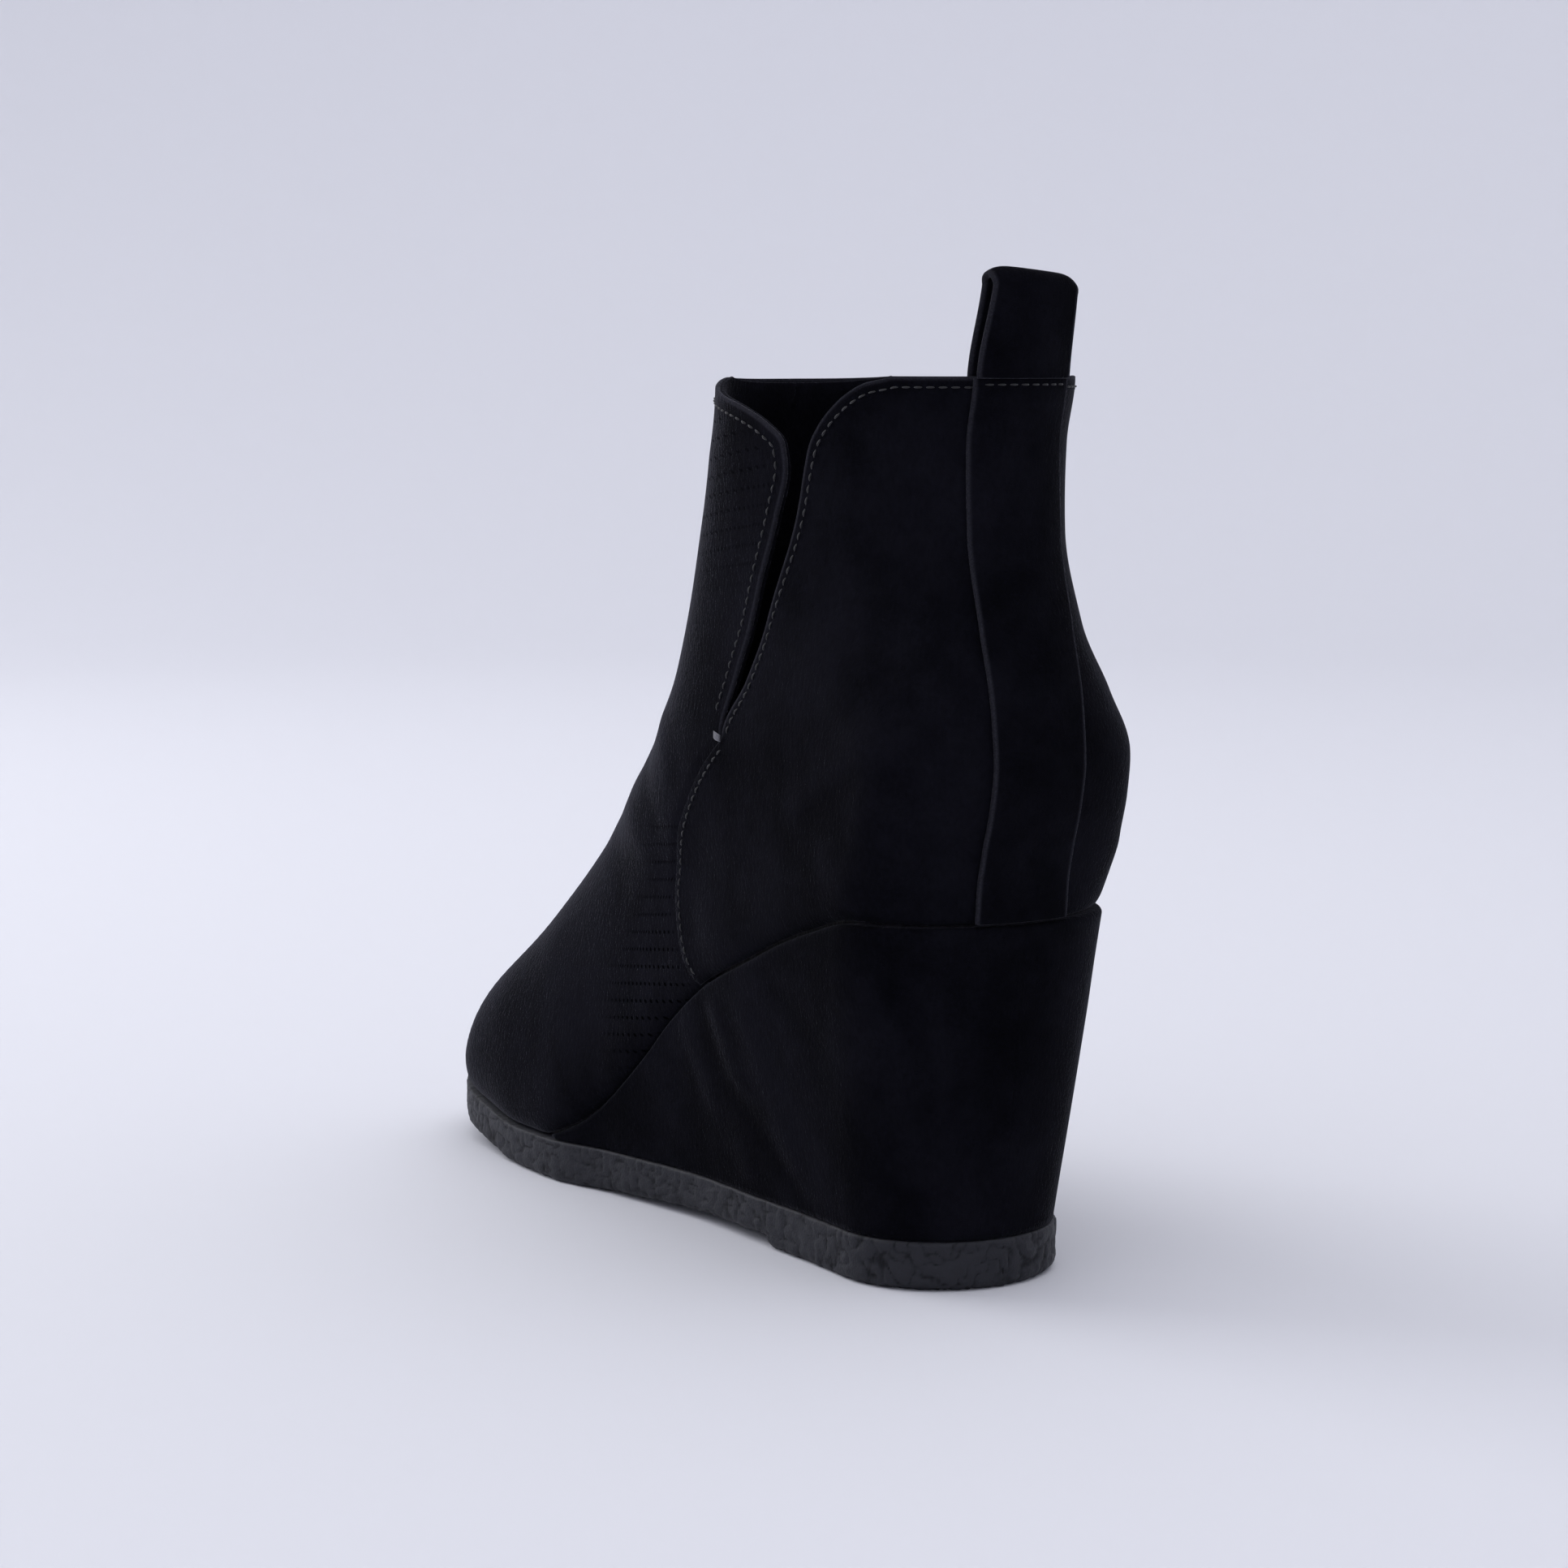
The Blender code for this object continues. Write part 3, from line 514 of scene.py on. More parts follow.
def add_piece(name, points, faces, finish, marks=None, replaces=()):
    """A piece from arrays of points and faces, with its marks, riding on the boot."""
    mesh = bpy.data.meshes.new(name)
    lists = faces if isinstance(faces, list) else [faces]
    mesh.from_pydata(points.reshape(-1, 3).tolist(), [], [face for part in lists for face in part.tolist()])
    for key, values in (marks or {}).items():
        mesh.attributes.new(key, "FLOAT", "POINT").data.foreach_set("value", np.asarray(values, np.float32).ravel())
    mesh.materials.append(finish.material)
    mesh.shade_smooth()
    piece = bpy.data.objects.new(name, mesh)
    bpy.context.scene.collection.objects.link(piece)
    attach(piece, "root")
    if replaces:
        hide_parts(*replaces)
    print(name, len(mesh.polygons), "faces")
    return piece


def sheet(outside, wall, bulge=0.5, steps=5):
    """Points and faces of a closed sheet from the grid of its outside.

    The inside is outside - wall * normal. A rim point at angle a from 0 to 180 degrees is the edge point
    - wall / 2 * (1 - cos a) * normal + bulge * wall / 2 * sin a * outwards.
    """
    rows, columns = outside.shape[:2]
    count = rows * columns
    direction = normals(outside)
    number = np.arange(count).reshape(rows, columns)
    loop = np.concatenate([number[0, :-1], number[:-1, -1], number[-1, :0:-1], number[:0:-1, 0]])
    edge, inward = outside.reshape(-1, 3)[loop], direction.reshape(-1, 3)[loop]
    run = np.roll(edge, -1, 0) - np.roll(edge, 1, 0)
    outwards = np.cross(run, inward)
    outwards /= np.maximum(np.linalg.norm(outwards, axis=1, keepdims=True), 1e-12)
    angle = (np.pi * np.arange(1, steps) / steps)[:, None, None]
    rim = edge - wall / 2 * (1 - np.cos(angle)) * inward + bulge * wall / 2 * np.sin(angle) * outwards
    grids = (outside, outside - wall * direction, rim)
    points = np.concatenate([grid.reshape(-1, 3) for grid in grids])
    rim_number = 2 * count + np.arange(rim.size // 3).reshape(steps - 1, -1)
    rings = np.concatenate([loop[None], rim_number, loop[None] + count])
    after = np.roll(rings, -1, 1)
    around = np.stack([rings[:-1], rings[1:], after[1:], after[:-1]], -1).reshape(-1, 4)
    faces = np.concatenate([quads(rows, columns), quads(rows, columns)[:, ::-1] + count, around])
    return points, faces


def sheet_marks(values, at_rim):
    """A mark of the outside's grid carried to the inside and to the rim, where it has one value."""
    flat = values.ravel()
    loop_count = 2 * sum(values.shape) - 4
    return np.concatenate([flat, flat, np.full(4 * loop_count, at_rim)])


def distance_to(line, points):
    """Distance from each point of a grid to the nearest point of a line."""
    flat = points.reshape(-1, 3)
    best = np.full(len(flat), np.inf)
    for part in np.array_split(line, max(1, len(line) // 40)):
        best = np.minimum(best, ((flat[:, None] - part)**2).sum(-1).min(1))
    return np.sqrt(best).reshape(points.shape[:-1])


# %% [markdown]
# ## Lines of the upper
#
# The upper has two parts: a front part that runs from the toe up the shin, and the quarters, one piece here
# round the heel, as a strip covers their rear seam. They meet on a seam that goes from the foot of each V
# cut down to the wedge. The quarters lie over the front part there. The outer side of the real boot isn't
# seen, so it is made as the mirror of the inner one.

# %% Seam, V cut, centre lines
TIP = COLLAR_HEIGHT - SLIT_DEPTH
# forward and up in millimetres, from the foot of the V cut down to the wedge
SEAM = np.array([(64.9, 121.0), (69.0, 117.6), (76.0, 110.6), (83.4, 100.6), (88.8, 91.0), (91.4, 81.6),
                 (90.2, 71.9), (86.6, 64.2), (82.8, 60.2)]) * MM
LAP = 0.006
DIP_START = 0.82
HIDDEN_RUN = 0.012


def collar_up(forward):
    """Height of the collar: level, then a soft dip towards the front."""
    start = rear(COLLAR_HEIGHT)
    share = (forward - start) / (COLLAR_FORWARD - start)
    return COLLAR_HEIGHT - COLLAR_DIP * soft((share - DIP_START) / (1 - DIP_START))


def slit_edge(column):
    """Edge of the V cut from its foot to where it meets the collar, in the side view."""
    share = np.linspace(0, 1, 600)
    start = rear(COLLAR_HEIGHT)
    forward = start + (COLLAR_FORWARD - start) * curve(SLIT_SECTIONS, share, column)
    up, top = TIP + SLIT_DEPTH * share, collar_up(forward)
    meets = np.flatnonzero(up >= top - 1e-9)
    end = meets[0] if len(meets) else len(share) - 1
    return np.stack([forward, np.minimum(up, top)], -1)[:end + 1]


def front_line(count):
    """Front edge of the upper from the toe to the collar: rays from inside the foot, halved till they meet it."""
    share = np.linspace(0, 1, count)
    toe_up = feather(SOLE_LENGTH) + GAP
    start = np.array([[SOLE_LENGTH, toe_up], [SOLE_LENGTH, toe_up + 0.35 * TOE_RADIUS]])
    end = [COLLAR_FORWARD, collar_up(COLLAR_FORWARD)]
    keep = (ridge_share > 0.10) & (ridge[:, 1] < end[1])
    goal = along(np.concatenate([start, ridge[keep][::-1], [end]]), share)
    spine_forward = SOLE_LENGTH * np.interp(share, (0, 0.15, 0.55, 1), (0.82, 0.74, 0.38, 0.22))
    lowered = np.interp(share, (0, 0.3, 0.8, 1), (0, 0.45, 0.25, 0))
    spine = np.stack([spine_forward, goal[:, 1] - (goal[:, 1] - toe_up) * lowered], 1)
    low, high = np.zeros(count), np.full(count, 1.25)
    for _ in range(30):
        middle = (low + high) / 2
        tried = spine + (goal - spine) * middle[:, None]
        within = upper_section(tried[:, 0], tried[:, 1], INNER)[1] > 0
        low, high = np.where(within, middle, low), np.where(within, high, middle)
    return spine + (goal - spine) * low[:, None]


def standing(start, end):
    """Feather line between two forward places, where the upper stands on the wedge and sole."""
    forward = np.linspace(start, end, 200)
    return np.stack([forward, feather(forward) + GAP], -1)


seam = smooth_line(SEAM, 160)
rear_slit, front_slit = slit_edge(1), slit_edge(2)
quarter_edge = np.concatenate([seam[::-1], rear_slit[1:]])
under = LAP * soft(lengths(seam)[::-1] / HIDDEN_RUN)
hidden = seam[::-1] - np.stack([under, np.zeros(len(seam))], -1)
hidden[:, 1] = np.maximum(hidden[:, 1], feather(hidden[:, 0]) + GAP)
front_edge = np.concatenate([hidden[:-1], front_slit])
shin = front_line(260)
heel_up = np.linspace(HEEL_SEAT_HEIGHT + GAP, COLLAR_HEIGHT, 160)
heel = np.stack([rear(heel_up), heel_up], -1)
print("seam", round(lengths(seam)[-1] / MM), "mm, V cut edge", round(lengths(rear_slit)[-1] / MM), "mm")


def patch(edge, centre, t, v):
    """Side-view grid between an open edge (t = 0) and a centre line (t = 1), from the feather line up.

    A Coons patch: (1-t) edge + t centre + (1-v) foot + v collar, less the four corners blended the same way.
    """
    foot = standing(edge[0, 0], centre[0, 0])
    over = np.linspace(edge[-1, 0], centre[-1, 0], 60)
    collar = np.stack([over, collar_up(over)], -1)
    t, v = t[None, :, None], v[:, None, None]
    sides = (1 - t) * along(edge, v[:, 0, 0])[:, None] + t * along(centre, v[:, 0, 0])[:, None]
    ends = (1 - v) * along(foot, t[0, :, 0])[None] + v * along(collar, t[0, :, 0])[None]
    corners = ((1 - t) * (1 - v) * foot[0] + t * (1 - v) * foot[-1] + (1 - t) * v * collar[0] + t * v * collar[-1])
    return sides + ends - corners


def to_seam(forward, up):
    """Distance to the seam in the side view, more than 0 in front of it, and 1 below the V cut's foot."""
    away = np.stack([forward, up], -1)[..., None, :] - seam
    nearest = (away**2).sum(-1).argmin(-1)
    offset = np.take_along_axis(away, nearest[..., None, None], -2)[..., 0, :]
    run = np.gradient(seam, axis=0)[nearest]
    ahead = offset[..., 0] * run[..., 1] - offset[..., 1] * run[..., 0] < 0
    return np.hypot(offset[..., 0], offset[..., 1]) * np.where(ahead, 1, -1), soft((TIP - up) / 0.008)


# %% [markdown]
# ## Folds
#
# The suede isn't stretched tight: it has shallow soft folds across the ankle and the wedge, and its nap
# lies in brushed patches that look lighter or darker. Both are placed as strokes: a stroke lifts or sinks
# the surface by a bell curve of the distance to a short line, and darkens or lightens the colour the same
# way, partly as brushed nap and partly as painted shade in a trough and painted light on a ridge.

# %% Strokes
# from forward, up, to forward, up, width, height (all mm), nap from -1 dark to 1 light, also painted fold shade:
# darker in a trough, lighter on a ridge
UPPER_STROKES = np.array([
    (33, 108, 5, 126, 5.0, 0.35, 0.7), (36, 101, 8, 118, 5.0, -0.30, -0.5), (44, 128, 20, 150, 9.0, 0.25, 0.5),
    (60, 132, 48, 150, 8.0, 0.20, 0.8), (72, 103, 66, 98, 8.0, 0.25, 0.6), (18, 98, 14, 92, 6.0, 0.25, 0.5),
    (76, 78, 68, 66, 6.0, 0.35, 0.6), (62, 84, 52, 74, 5.0, -0.30, -0.4), (28, 160, 22, 172, 8.0, 0.15, 0.4),
    (103, 122, 92, 112, 4.5, 0.40, 0.5), (112, 112, 98, 98, 4.5, -0.45, -0.5), (124, 104, 106, 88, 5.0, 0.35, 0.5),
    (136, 96, 120, 80, 6.0, -0.30, -0.4), (160, 60, 150, 44, 9.0, 0.25, 0.5), (185, 40, 176, 30, 10.0, 0.15, 0.3)])
WEDGE_STROKES = np.array([
    (90, 50, 80, 32, 4.0, 0.45, 0.7), (82, 56, 70, 30, 4.0, -0.35, -0.5), (74, 55, 66, 38, 3.5, 0.40, 0.7),
    (71, 32, 66, 16, 4.5, 0.35, 0.6), (68, 36, 42, 12, 4.0, -0.55, -0.8), (60, 55, 46, 26, 4.5, 0.40, 0.6),
    (50, 68, 30, 54, 5.0, -0.35, -0.5), (54, 20, 48, 10, 5.0, 0.25, 0.5), (27, 40, 22, 28, 9.0, -0.30, -0.8),
    (8, 60, 4, 30, 9.0, 0.20, 0.4), (104, 34, 98, 22, 5.0, 0.25, 0.4)])
FOLD_DEPTH = 1.0


def strokes(table, forward, up):
    """Height of the folds in metres and a lightness of the colour, partly brushing and partly painted shade in
    troughs and painted light on ridges, summed over a table of strokes.

    Each stroke adds its value times exp(-(distance / width)^2), with the distance to its line.
    """
    place_mm = np.stack([forward, up], -1)[..., None, :] / MM
    start, end, width = table[:, 0:2], table[:, 2:4], table[:, 4]
    run = end - start
    share = np.clip(((place_mm - start) * run).sum(-1) / (run**2).sum(-1), 0, 1)
    gap = np.linalg.norm(place_mm - start - share[..., None] * run, axis=-1)
    bell = np.exp(-(gap / width)**2)
    return FOLD_DEPTH * MM * (bell * table[:, 5]).sum(-1), (bell * table[:, 6]).sum(-1)


# %% [markdown]
# ## Microsuede
#
# Suede looks black from most sides and pale where its nap stands against the light, above all at the
# outline. A near-black base with a sheen gives that. Lighter brushed patches, painted shade in the folds'
# troughs and painted light on their ridges, fine fibres as noise and tiny bumps, and a paler fuzzy cut edge
# come on top. The sheen is one value all over, so it is set on the shader itself. The front part's pinholes
# are black dots, mixed in where two marks say how far along its row and how far up a place is.

# %% Suede finish
SUEDE_DARK = (0.0003, 0.0004, 0.0011)
SUEDE_LIGHT = (0.0052, 0.0053, 0.0084)
CUT_EDGE = (0.024, 0.024, 0.031)
SHEEN_TINT = (0.80, 0.80, 0.95, 1)
# pinholes in millimetres: from hole to hole, from row to row, radius of the black middle and of the soft edge
HOLE_PITCH = 2.4
HOLE_ROW = 4.3
HOLE_CORE = 0.30
HOLE_EDGE = 0.62
HOLE_DARK = 0.92
# how far a row of pinholes sinks for each step towards the toe
ROW_SLOPE = 0.13


def suede(name, holes=False, light=0.5, sheen=0.10):
    """Black microsuede: brushed patches with painted shade in fold troughs and painted light on fold ridges, fibres,
    a paler cut edge and, on the front part, rows of pinholes.
    """
    finish = Finish(name, 0.93, Sheen_Weight=sheen, Sheen_Roughness=0.22, Sheen_Tint=SHEEN_TINT,
                    Specular_IOR_Level=0.03)
    patches = finish.noise(0.030, 3.0, (1.0, 1.0, 0.55), (0.6, 0.0, 0.0))
    small = finish.noise(0.007, 3.0)
    fibres = finish.noise(0.0009, 2.0, (1.0, 1.0, 0.45), (0.5, 0.3, 0.0))
    fine = finish.noise(0.0004, 1.0)
    # The stroke mark read here lightens and darkens the colour: partly brushed nap, partly painted shade in fold
    # troughs and painted light on fold ridges.
    nap = finish.mark("nap")
    shade = finish.step(patches + small * 0.35 + nap * 0.22, 0.45, 0.95) * 0.75 + light * 0.5
    edge = finish.mark("edge")
    rim = finish.step(edge, 0.9, 0.1)
    colour = finish.blend(shade * (fibres * 0.8 + 0.6), SUEDE_DARK, SUEDE_LIGHT)
    colour = finish.blend(rim * (fine * 0.9 + 0.25), colour, CUT_EDGE)
    height = fibres * 0.6 + fine * 0.4
    if holes:
        level = finish.mark("level") / HOLE_ROW
        row = level.maths("FLOOR", level)
        along_row = finish.mark("along") / HOLE_PITCH + row * 0.5
        across = along_row.maths("FRACT", along_row) - 0.5
        upward = level.maths("FRACT", level) - 0.5
        reach = ((across * HOLE_PITCH) ** 2 + (upward * HOLE_ROW) ** 2) ** 0.5
        finish.pierce(finish.step(reach, HOLE_EDGE, HOLE_CORE) * finish.mark("pierced") * HOLE_DARK)
    finish.set(finish.shader, {"Base Color": colour, "Normal": finish.relief(height, 0.00035)})
    return finish


front_suede = suede("front suede", holes=True, light=0.55, sheen=0.2)
quarter_suede = suede("quarter suede", light=0.42)
wedge_suede = suede("wedge suede", light=0.40)
strip_suede = suede("strip suede", light=0.25)
lining_cloth = suede("lining fleece", light=0.9)

# %% [markdown]
# ## The two parts of the upper and their lining
#
# Each part is a patch of the side view carried out to the form's half width on both sides, with the
# centre line in the middle of the grid. Columns crowd towards the centre line, where the form is round.
# The foot of the sheet turns in a little, as it does where suede is pulled round a last, and that leaves
# the dark groove along the wedge.

# %% Upper parts
SUEDE_WALL = 0.00115
LINING_WALL = 0.00095
LAP_LIFT = 0.00045
LAP_SINK = 0.00050
FOOT_TURN = 0.0040
FOOT_TUCK = 0.0013


def lasted(edge, centre, first, second, rows, columns, trim=0.0):
    """Grid of a part of the upper, from its edge on one side over the centre line to the other side.

    Returns the points on the form and their side-view places.
    """
    t = trim + (1 - trim) * np.sin(np.linspace(0, np.pi / 2, columns))
    v = np.linspace(0, 1 - trim / 2, rows)
    grid = patch(edge, centre, t, v)
    sides = []
    for side in (first, second):
        half = upper_section(grid[..., 0], grid[..., 1], side)[0]
        half[:, -1] = 0
        sides.append(place(side * half, grid[..., 0], grid[..., 1]))
    points = np.concatenate([sides[0], sides[1][:, -2::-1]], 1)
    flat = np.concatenate([grid, grid[:, -2::-1]], 1)
    return points, flat


def foot_turn(flat):
    """How far the foot of a sheet turns in: a quarter circle over its lowest four millimetres."""
    above = np.clip((flat[..., 1] - feather(flat[..., 0]) - GAP) / FOOT_TURN, 0, 1)
    return FOOT_TUCK * (1 - np.sqrt(1 - (1 - above)**2))


def make_part(name, edge, centre, first, second, rows, columns, finish, lift, replaces=()):
    """A part of the upper as a closed suede sheet with its marks."""
    points, flat = lasted(edge, centre, first, second, rows, columns)
    direction = normals(points)
    # The strokes' second value is brushed nap mixed with painted fold shade and painted fold light.
    fold, nap = strokes(UPPER_STROKES, flat[..., 0], flat[..., 1])
    border = np.concatenate([points[:, 0], points[-1], points[::-1, -1]])
    away = distance_to(border, points)
    height = fold * soft(away / 0.004) + lift(flat) - foot_turn(flat)
    outside = points + direction * height[..., None]
    steps = np.linalg.norm(np.diff(points, axis=1), axis=2)
    far = np.concatenate([np.zeros((len(points), 1)), np.cumsum(steps, 1)], 1)
    run = np.minimum(far, far[:, -1:] - far)
    solid, faces = sheet(outside, SUEDE_WALL)
    bare = away / MM + 2 * to_seam(flat[..., 0], flat[..., 1])[1]
    marks = {"edge": sheet_marks(bare, 0), "nap": sheet_marks(nap, 0), "along": sheet_marks(run / MM, 0),
             "level": sheet_marks((flat[..., 1] + ROW_SLOPE * flat[..., 0]) / MM, 0),
             "pierced": sheet_marks(pierced(flat, run), 0)}
    return add_piece(name, solid, faces, finish, marks, replaces)


def pierced(flat, run):
    """How clearly pinholes show: strong near the seam, fading to nothing at the toe and the centre line."""
    forward, up = flat[..., 0] / MM, flat[..., 1] / MM
    inside = run / MM
    vamp = soft((175 - forward) / 40) * soft((up - 30) / 8) * soft((inside - 8) / 3) * soft((105 - up) / 12)
    shaft = soft((up - 150) / 15) * soft((inside - 5) / 2) * 0.6
    return np.clip(vamp + shaft, 0, 1) * soft((62 - inside) / 22)


def quarter_lift(flat):
    """Quarters rise by a lap's height along the seam."""
    gap, below = to_seam(flat[..., 0], flat[..., 1])
    return LAP_LIFT * below * soft(1 - np.abs(gap) / 0.010)


def front_sink(flat):
    """The front part sinks under the quarters, and a little way in front of them."""
    gap, below = to_seam(flat[..., 0], flat[..., 1])
    return -LAP_SINK * below * (1 - soft(gap / 0.004))


make_part("front_part", front_edge, shin, OUTER, INNER, 210, 74, front_suede, front_sink, ["upper"])
make_part("quarters", quarter_edge, heel, INNER, OUTER, 180, 74, quarter_suede, quarter_lift)


def make_lining(name, edge, centre, first, second, rows, columns):
    """Lining of a part: a thinner sheet right behind the suede, its edge a little behind the suede's."""
    points, flat = lasted(edge, centre, first, second, rows, columns, 0.006)
    direction = normals(points)
    outside = points - direction * (SUEDE_WALL + 0.0001 + foot_turn(flat)[..., None] + LAP_SINK * 0.2)
    solid, faces = sheet(outside, LINING_WALL)
    none = np.zeros(flat.shape[:2])
    marks = {"edge": sheet_marks(none + 9, 1), "nap": sheet_marks(none, 0)}
    add_piece(name, solid, faces, lining_cloth, marks)


make_lining("front_lining", front_edge, shin, OUTER, INNER, 100, 40)
make_lining("quarter_lining", quarter_edge, heel, INNER, OUTER, 90, 40)

# %% [markdown]
# ## Wedge and sole
#
# The wedge is a cork or plastic block wrapped in the same suede. Its wall is ruled: straight lines run
# from the sole's outline up to the upper's, and its top edge rolls in under the foot. The sole under it
# is one piece of dark crepe rubber with a wrinkled side. Its wrinkles are real relief in the mesh, from
# a noise summed at two sizes.

# %% Ring solids
WEDGE_STATIONS = 190
WEDGE_ROWS = 44
ROLL_RADIUS = 0.0014


def ring(inner, outer):
    """Points and faces of a solid from matching inner-side and outer-side rows, joined by rungs at top and foot."""
    points = np.concatenate([inner, outer[:, ::-1]], 1)
    rows, columns = points.shape[:2]
    stations = columns // 2
    walls = quads(rows, columns)
    seam_first = np.arange(rows - 1) * columns
    close = np.stack([seam_first + columns - 1, seam_first, seam_first + columns, seam_first + 2 * columns - 1], -1)
    i = np.arange(stations - 1)
    foot = np.stack([i, columns - 1 - i, columns - 2 - i, i + 1], -1)
    head = (rows - 1) * columns + foot[:, ::-1]
    return points, np.concatenate([walls, close, foot, head])


def outline(forward, up, side, out):
    """The upper's outline at a height moved outwards in plan: sideways and forward places."""
    half = upper_section(forward, up, side)[0]
    run = np.stack([np.gradient(half), np.gradient(forward)])
    run /= np.hypot(*run)
    return half + out * run[1], forward - out * run[0]


def wedge_side(side):
    """Rows of the wedge's wall on one side, foot to head, then the roll of its top edge."""
    share = 1 - np.cos(np.linspace(0, np.pi / 2, WEDGE_STATIONS))
    low = WEDGE_INSET + (WEDGE_END - WEDGE_INSET) * share
    start = rear(HEEL_SEAT_HEIGHT)
    high = start + (WEDGE_END - start) * share
    half, forward = outline(high, feather(high) + GAP, side, WEDGE_LEDGE)
    half[0], forward[0], forward[-1] = 0, high[0] - WEDGE_LEDGE, WEDGE_END
    base = np.maximum(sole_outline(np.maximum(low - WEDGE_INSET, 0), side) - WEDGE_INSET, 0)
    base[0] = 0
    foot = np.stack([base, low, sole_top(low) + GAP], -1)
    head = np.stack([half, forward, feather(forward)], -1)
    thick = np.maximum(head[:, 2] - foot[:, 2], 1e-5)
    roll = np.minimum(ROLL_RADIUS, 0.3 * thick)
    reach = ((thick - roll) / thick)[None, :, None] * np.linspace(0, 1, WEDGE_ROWS)[:, None, None]
    wall = foot + (head - foot) * reach
    # The strokes' second value is brushed nap mixed with painted fold shade and painted fold light.
    fold, nap = strokes(WEDGE_STROKES, wall[..., 1], wall[..., 2])
    calm = soft((wall[..., 2] - foot[:, 2]) / 0.006) * soft((head[:, 2] - wall[..., 2]) / 0.006)
    run = np.gradient(wall, axis=1)
    out = np.stack([run[..., 1], -run[..., 0]], -1)
    out /= np.maximum(np.linalg.norm(out, axis=-1, keepdims=True), 1e-9)
    out[:, 0] = (0, -1)
    wall[..., :2] += out * (fold * calm)[..., None]
    angle = np.linspace(0, np.pi / 2, 7)[1:, None]
    top = wall[-1]
    turned = np.stack([top[:, 0] - out[-1, :, 0] * roll * (1 - np.cos(angle)),
                       top[:, 1] - out[-1, :, 1] * roll * (1 - np.cos(angle)), top[:, 2] + roll * np.sin(angle)], -1)
    rows = np.concatenate([wall, turned])
    rows[..., 0] = np.maximum(rows[..., 0], 0)
    rows[:, 0, 0] = 0
    return place(side * rows[..., 0], rows[..., 1], rows[..., 2]), np.concatenate([nap, np.repeat(nap[-1:], 6, 0)])


def make_wedge():
    """Suede-covered wedge in place of the frame's plain one."""
    (inner, inner_nap_and_fold_shade), (outer, outer_nap_and_fold_shade) = wedge_side(INNER), wedge_side(OUTER)
    points, faces = ring(outer, inner)
    nap = np.concatenate([outer_nap_and_fold_shade, inner_nap_and_fold_shade[:, ::-1]], 1)
    marks = {"edge": np.full(nap.size, 9.0), "nap": nap}
    add_piece("wedge_cover", points, faces, wedge_suede, marks, ["wedge"])


make_wedge()


# %% Wrinkled rubber
def lumps(points, size, seed):
    """Value noise from -1 to 1: a random height at each whole-number place, blended by soft steps between."""
    scaled = points / size
    base = np.floor(scaled)
    inside = soft(scaled - base)
    total = np.zeros(points.shape[:-1])
    for corner in np.ndindex(2, 2, 2):
        spot = base + corner
        chance = np.sin(spot @ (127.1, 311.7, 74.7) + seed) * 43758.5453
        weight = np.prod(np.where(corner, inside, 1 - inside), -1)
        total += weight * (2 * (chance - np.floor(chance)) - 1)
    return total


def wrinkles(points):
    """Crepe relief from -1 to 1: sharp valleys where two sizes of lumps pass through 0, low humps between."""
    bent = points + 0.0009 * np.stack([lumps(points, 0.003, s) for s in (1, 2, 3)], -1)
    coarse = np.abs(lumps(bent, 0.0026, 7)) ** 0.5
    small = np.abs(lumps(bent, 0.0012, 11)) ** 0.5
    return 1.3 * coarse + 0.6 * small - 1


# The darker rubber colour is painted shade for the wrinkles' valleys; the lighter one is the rubber's own grey.
RUBBER_VALLEY_SHADE = (0.0045, 0.0047, 0.0066)
RUBBER_LIGHT = (0.021, 0.0216, 0.0268)


def rubber():
    """Crepe rubber: painted shade darkens the wrinkles' valleys, their backs are greyer and smoother, with a fine
    grain.
    """
    finish = Finish("crepe rubber", 0.6, Specular_IOR_Level=0.16)
    grain = finish.noise(0.0006, 3.0)
    cloud = finish.noise(0.02, 2.0)
    # Painted shade: the colour darkens towards the wrinkles' valleys, where the crest mark is low.
    wrinkle_relief = finish.mark("crest")
    shade = finish.step(wrinkle_relief + cloud * 0.3, -0.65, 0.15)
    finish.set(finish.shader, {"Base Color": finish.blend(shade, RUBBER_VALLEY_SHADE, RUBBER_LIGHT),
                               "Roughness": 0.72 - shade * 0.2, "Normal": finish.relief(grain, 0.00015)})
    return finish


# %% Outsole
SOLE_STATIONS = 430
WRINKLE_DEPTH = 0.00038


def sole_side(side):
    """Rows of the sole's wall on one side: the rounded lower edge, the straight wall and the top's lip."""
    share = 0.5 - 0.5 * np.cos(np.linspace(0, np.pi, SOLE_STATIONS))
    at = SOLE_LENGTH * share
    turn = np.linspace(0, np.pi / 2, 6)
    inset = np.concatenate([SOLE_EDGE_RADIUS * (1 - np.sin(turn)), np.zeros(17), [0.0004]])[:, None]
    lift = SOLE_EDGE_RADIUS * (1 - np.cos(turn))
    wall_low, wall_high = sole_bottom(at) + SOLE_EDGE_RADIUS, sole_top(at) - 0.0005
    wall = wall_low + (wall_high - wall_low) * np.linspace(0, 1, 18)[1:, None]
    up = np.concatenate([sole_bottom(at) + lift[:, None], wall, sole_top(at)[None]])
    middle = SOLE_LENGTH / 2
    forward = middle + (at - middle) * (1 - inset / middle)
    return place(side * np.maximum(sole_outline(at, side) - inset, 0), forward, up)


def make_outsole():
    """Crepe sole in place of the frame's plain one."""
    points, faces = ring(sole_side(OUTER), sole_side(INNER))
    out = normals(points)
    flat = wrinkles(points)
    calm = np.ones(points.shape[:2])
    calm[0] = calm[-1] = 0
    around = np.linalg.norm(out, axis=-1) > 0.5
    moved = points + out * (WRINKLE_DEPTH * flat * calm * around)[..., None]
    add_piece("crepe_sole", moved, faces, rubber(), {"crest": flat}, ["outsole"])


make_outsole()

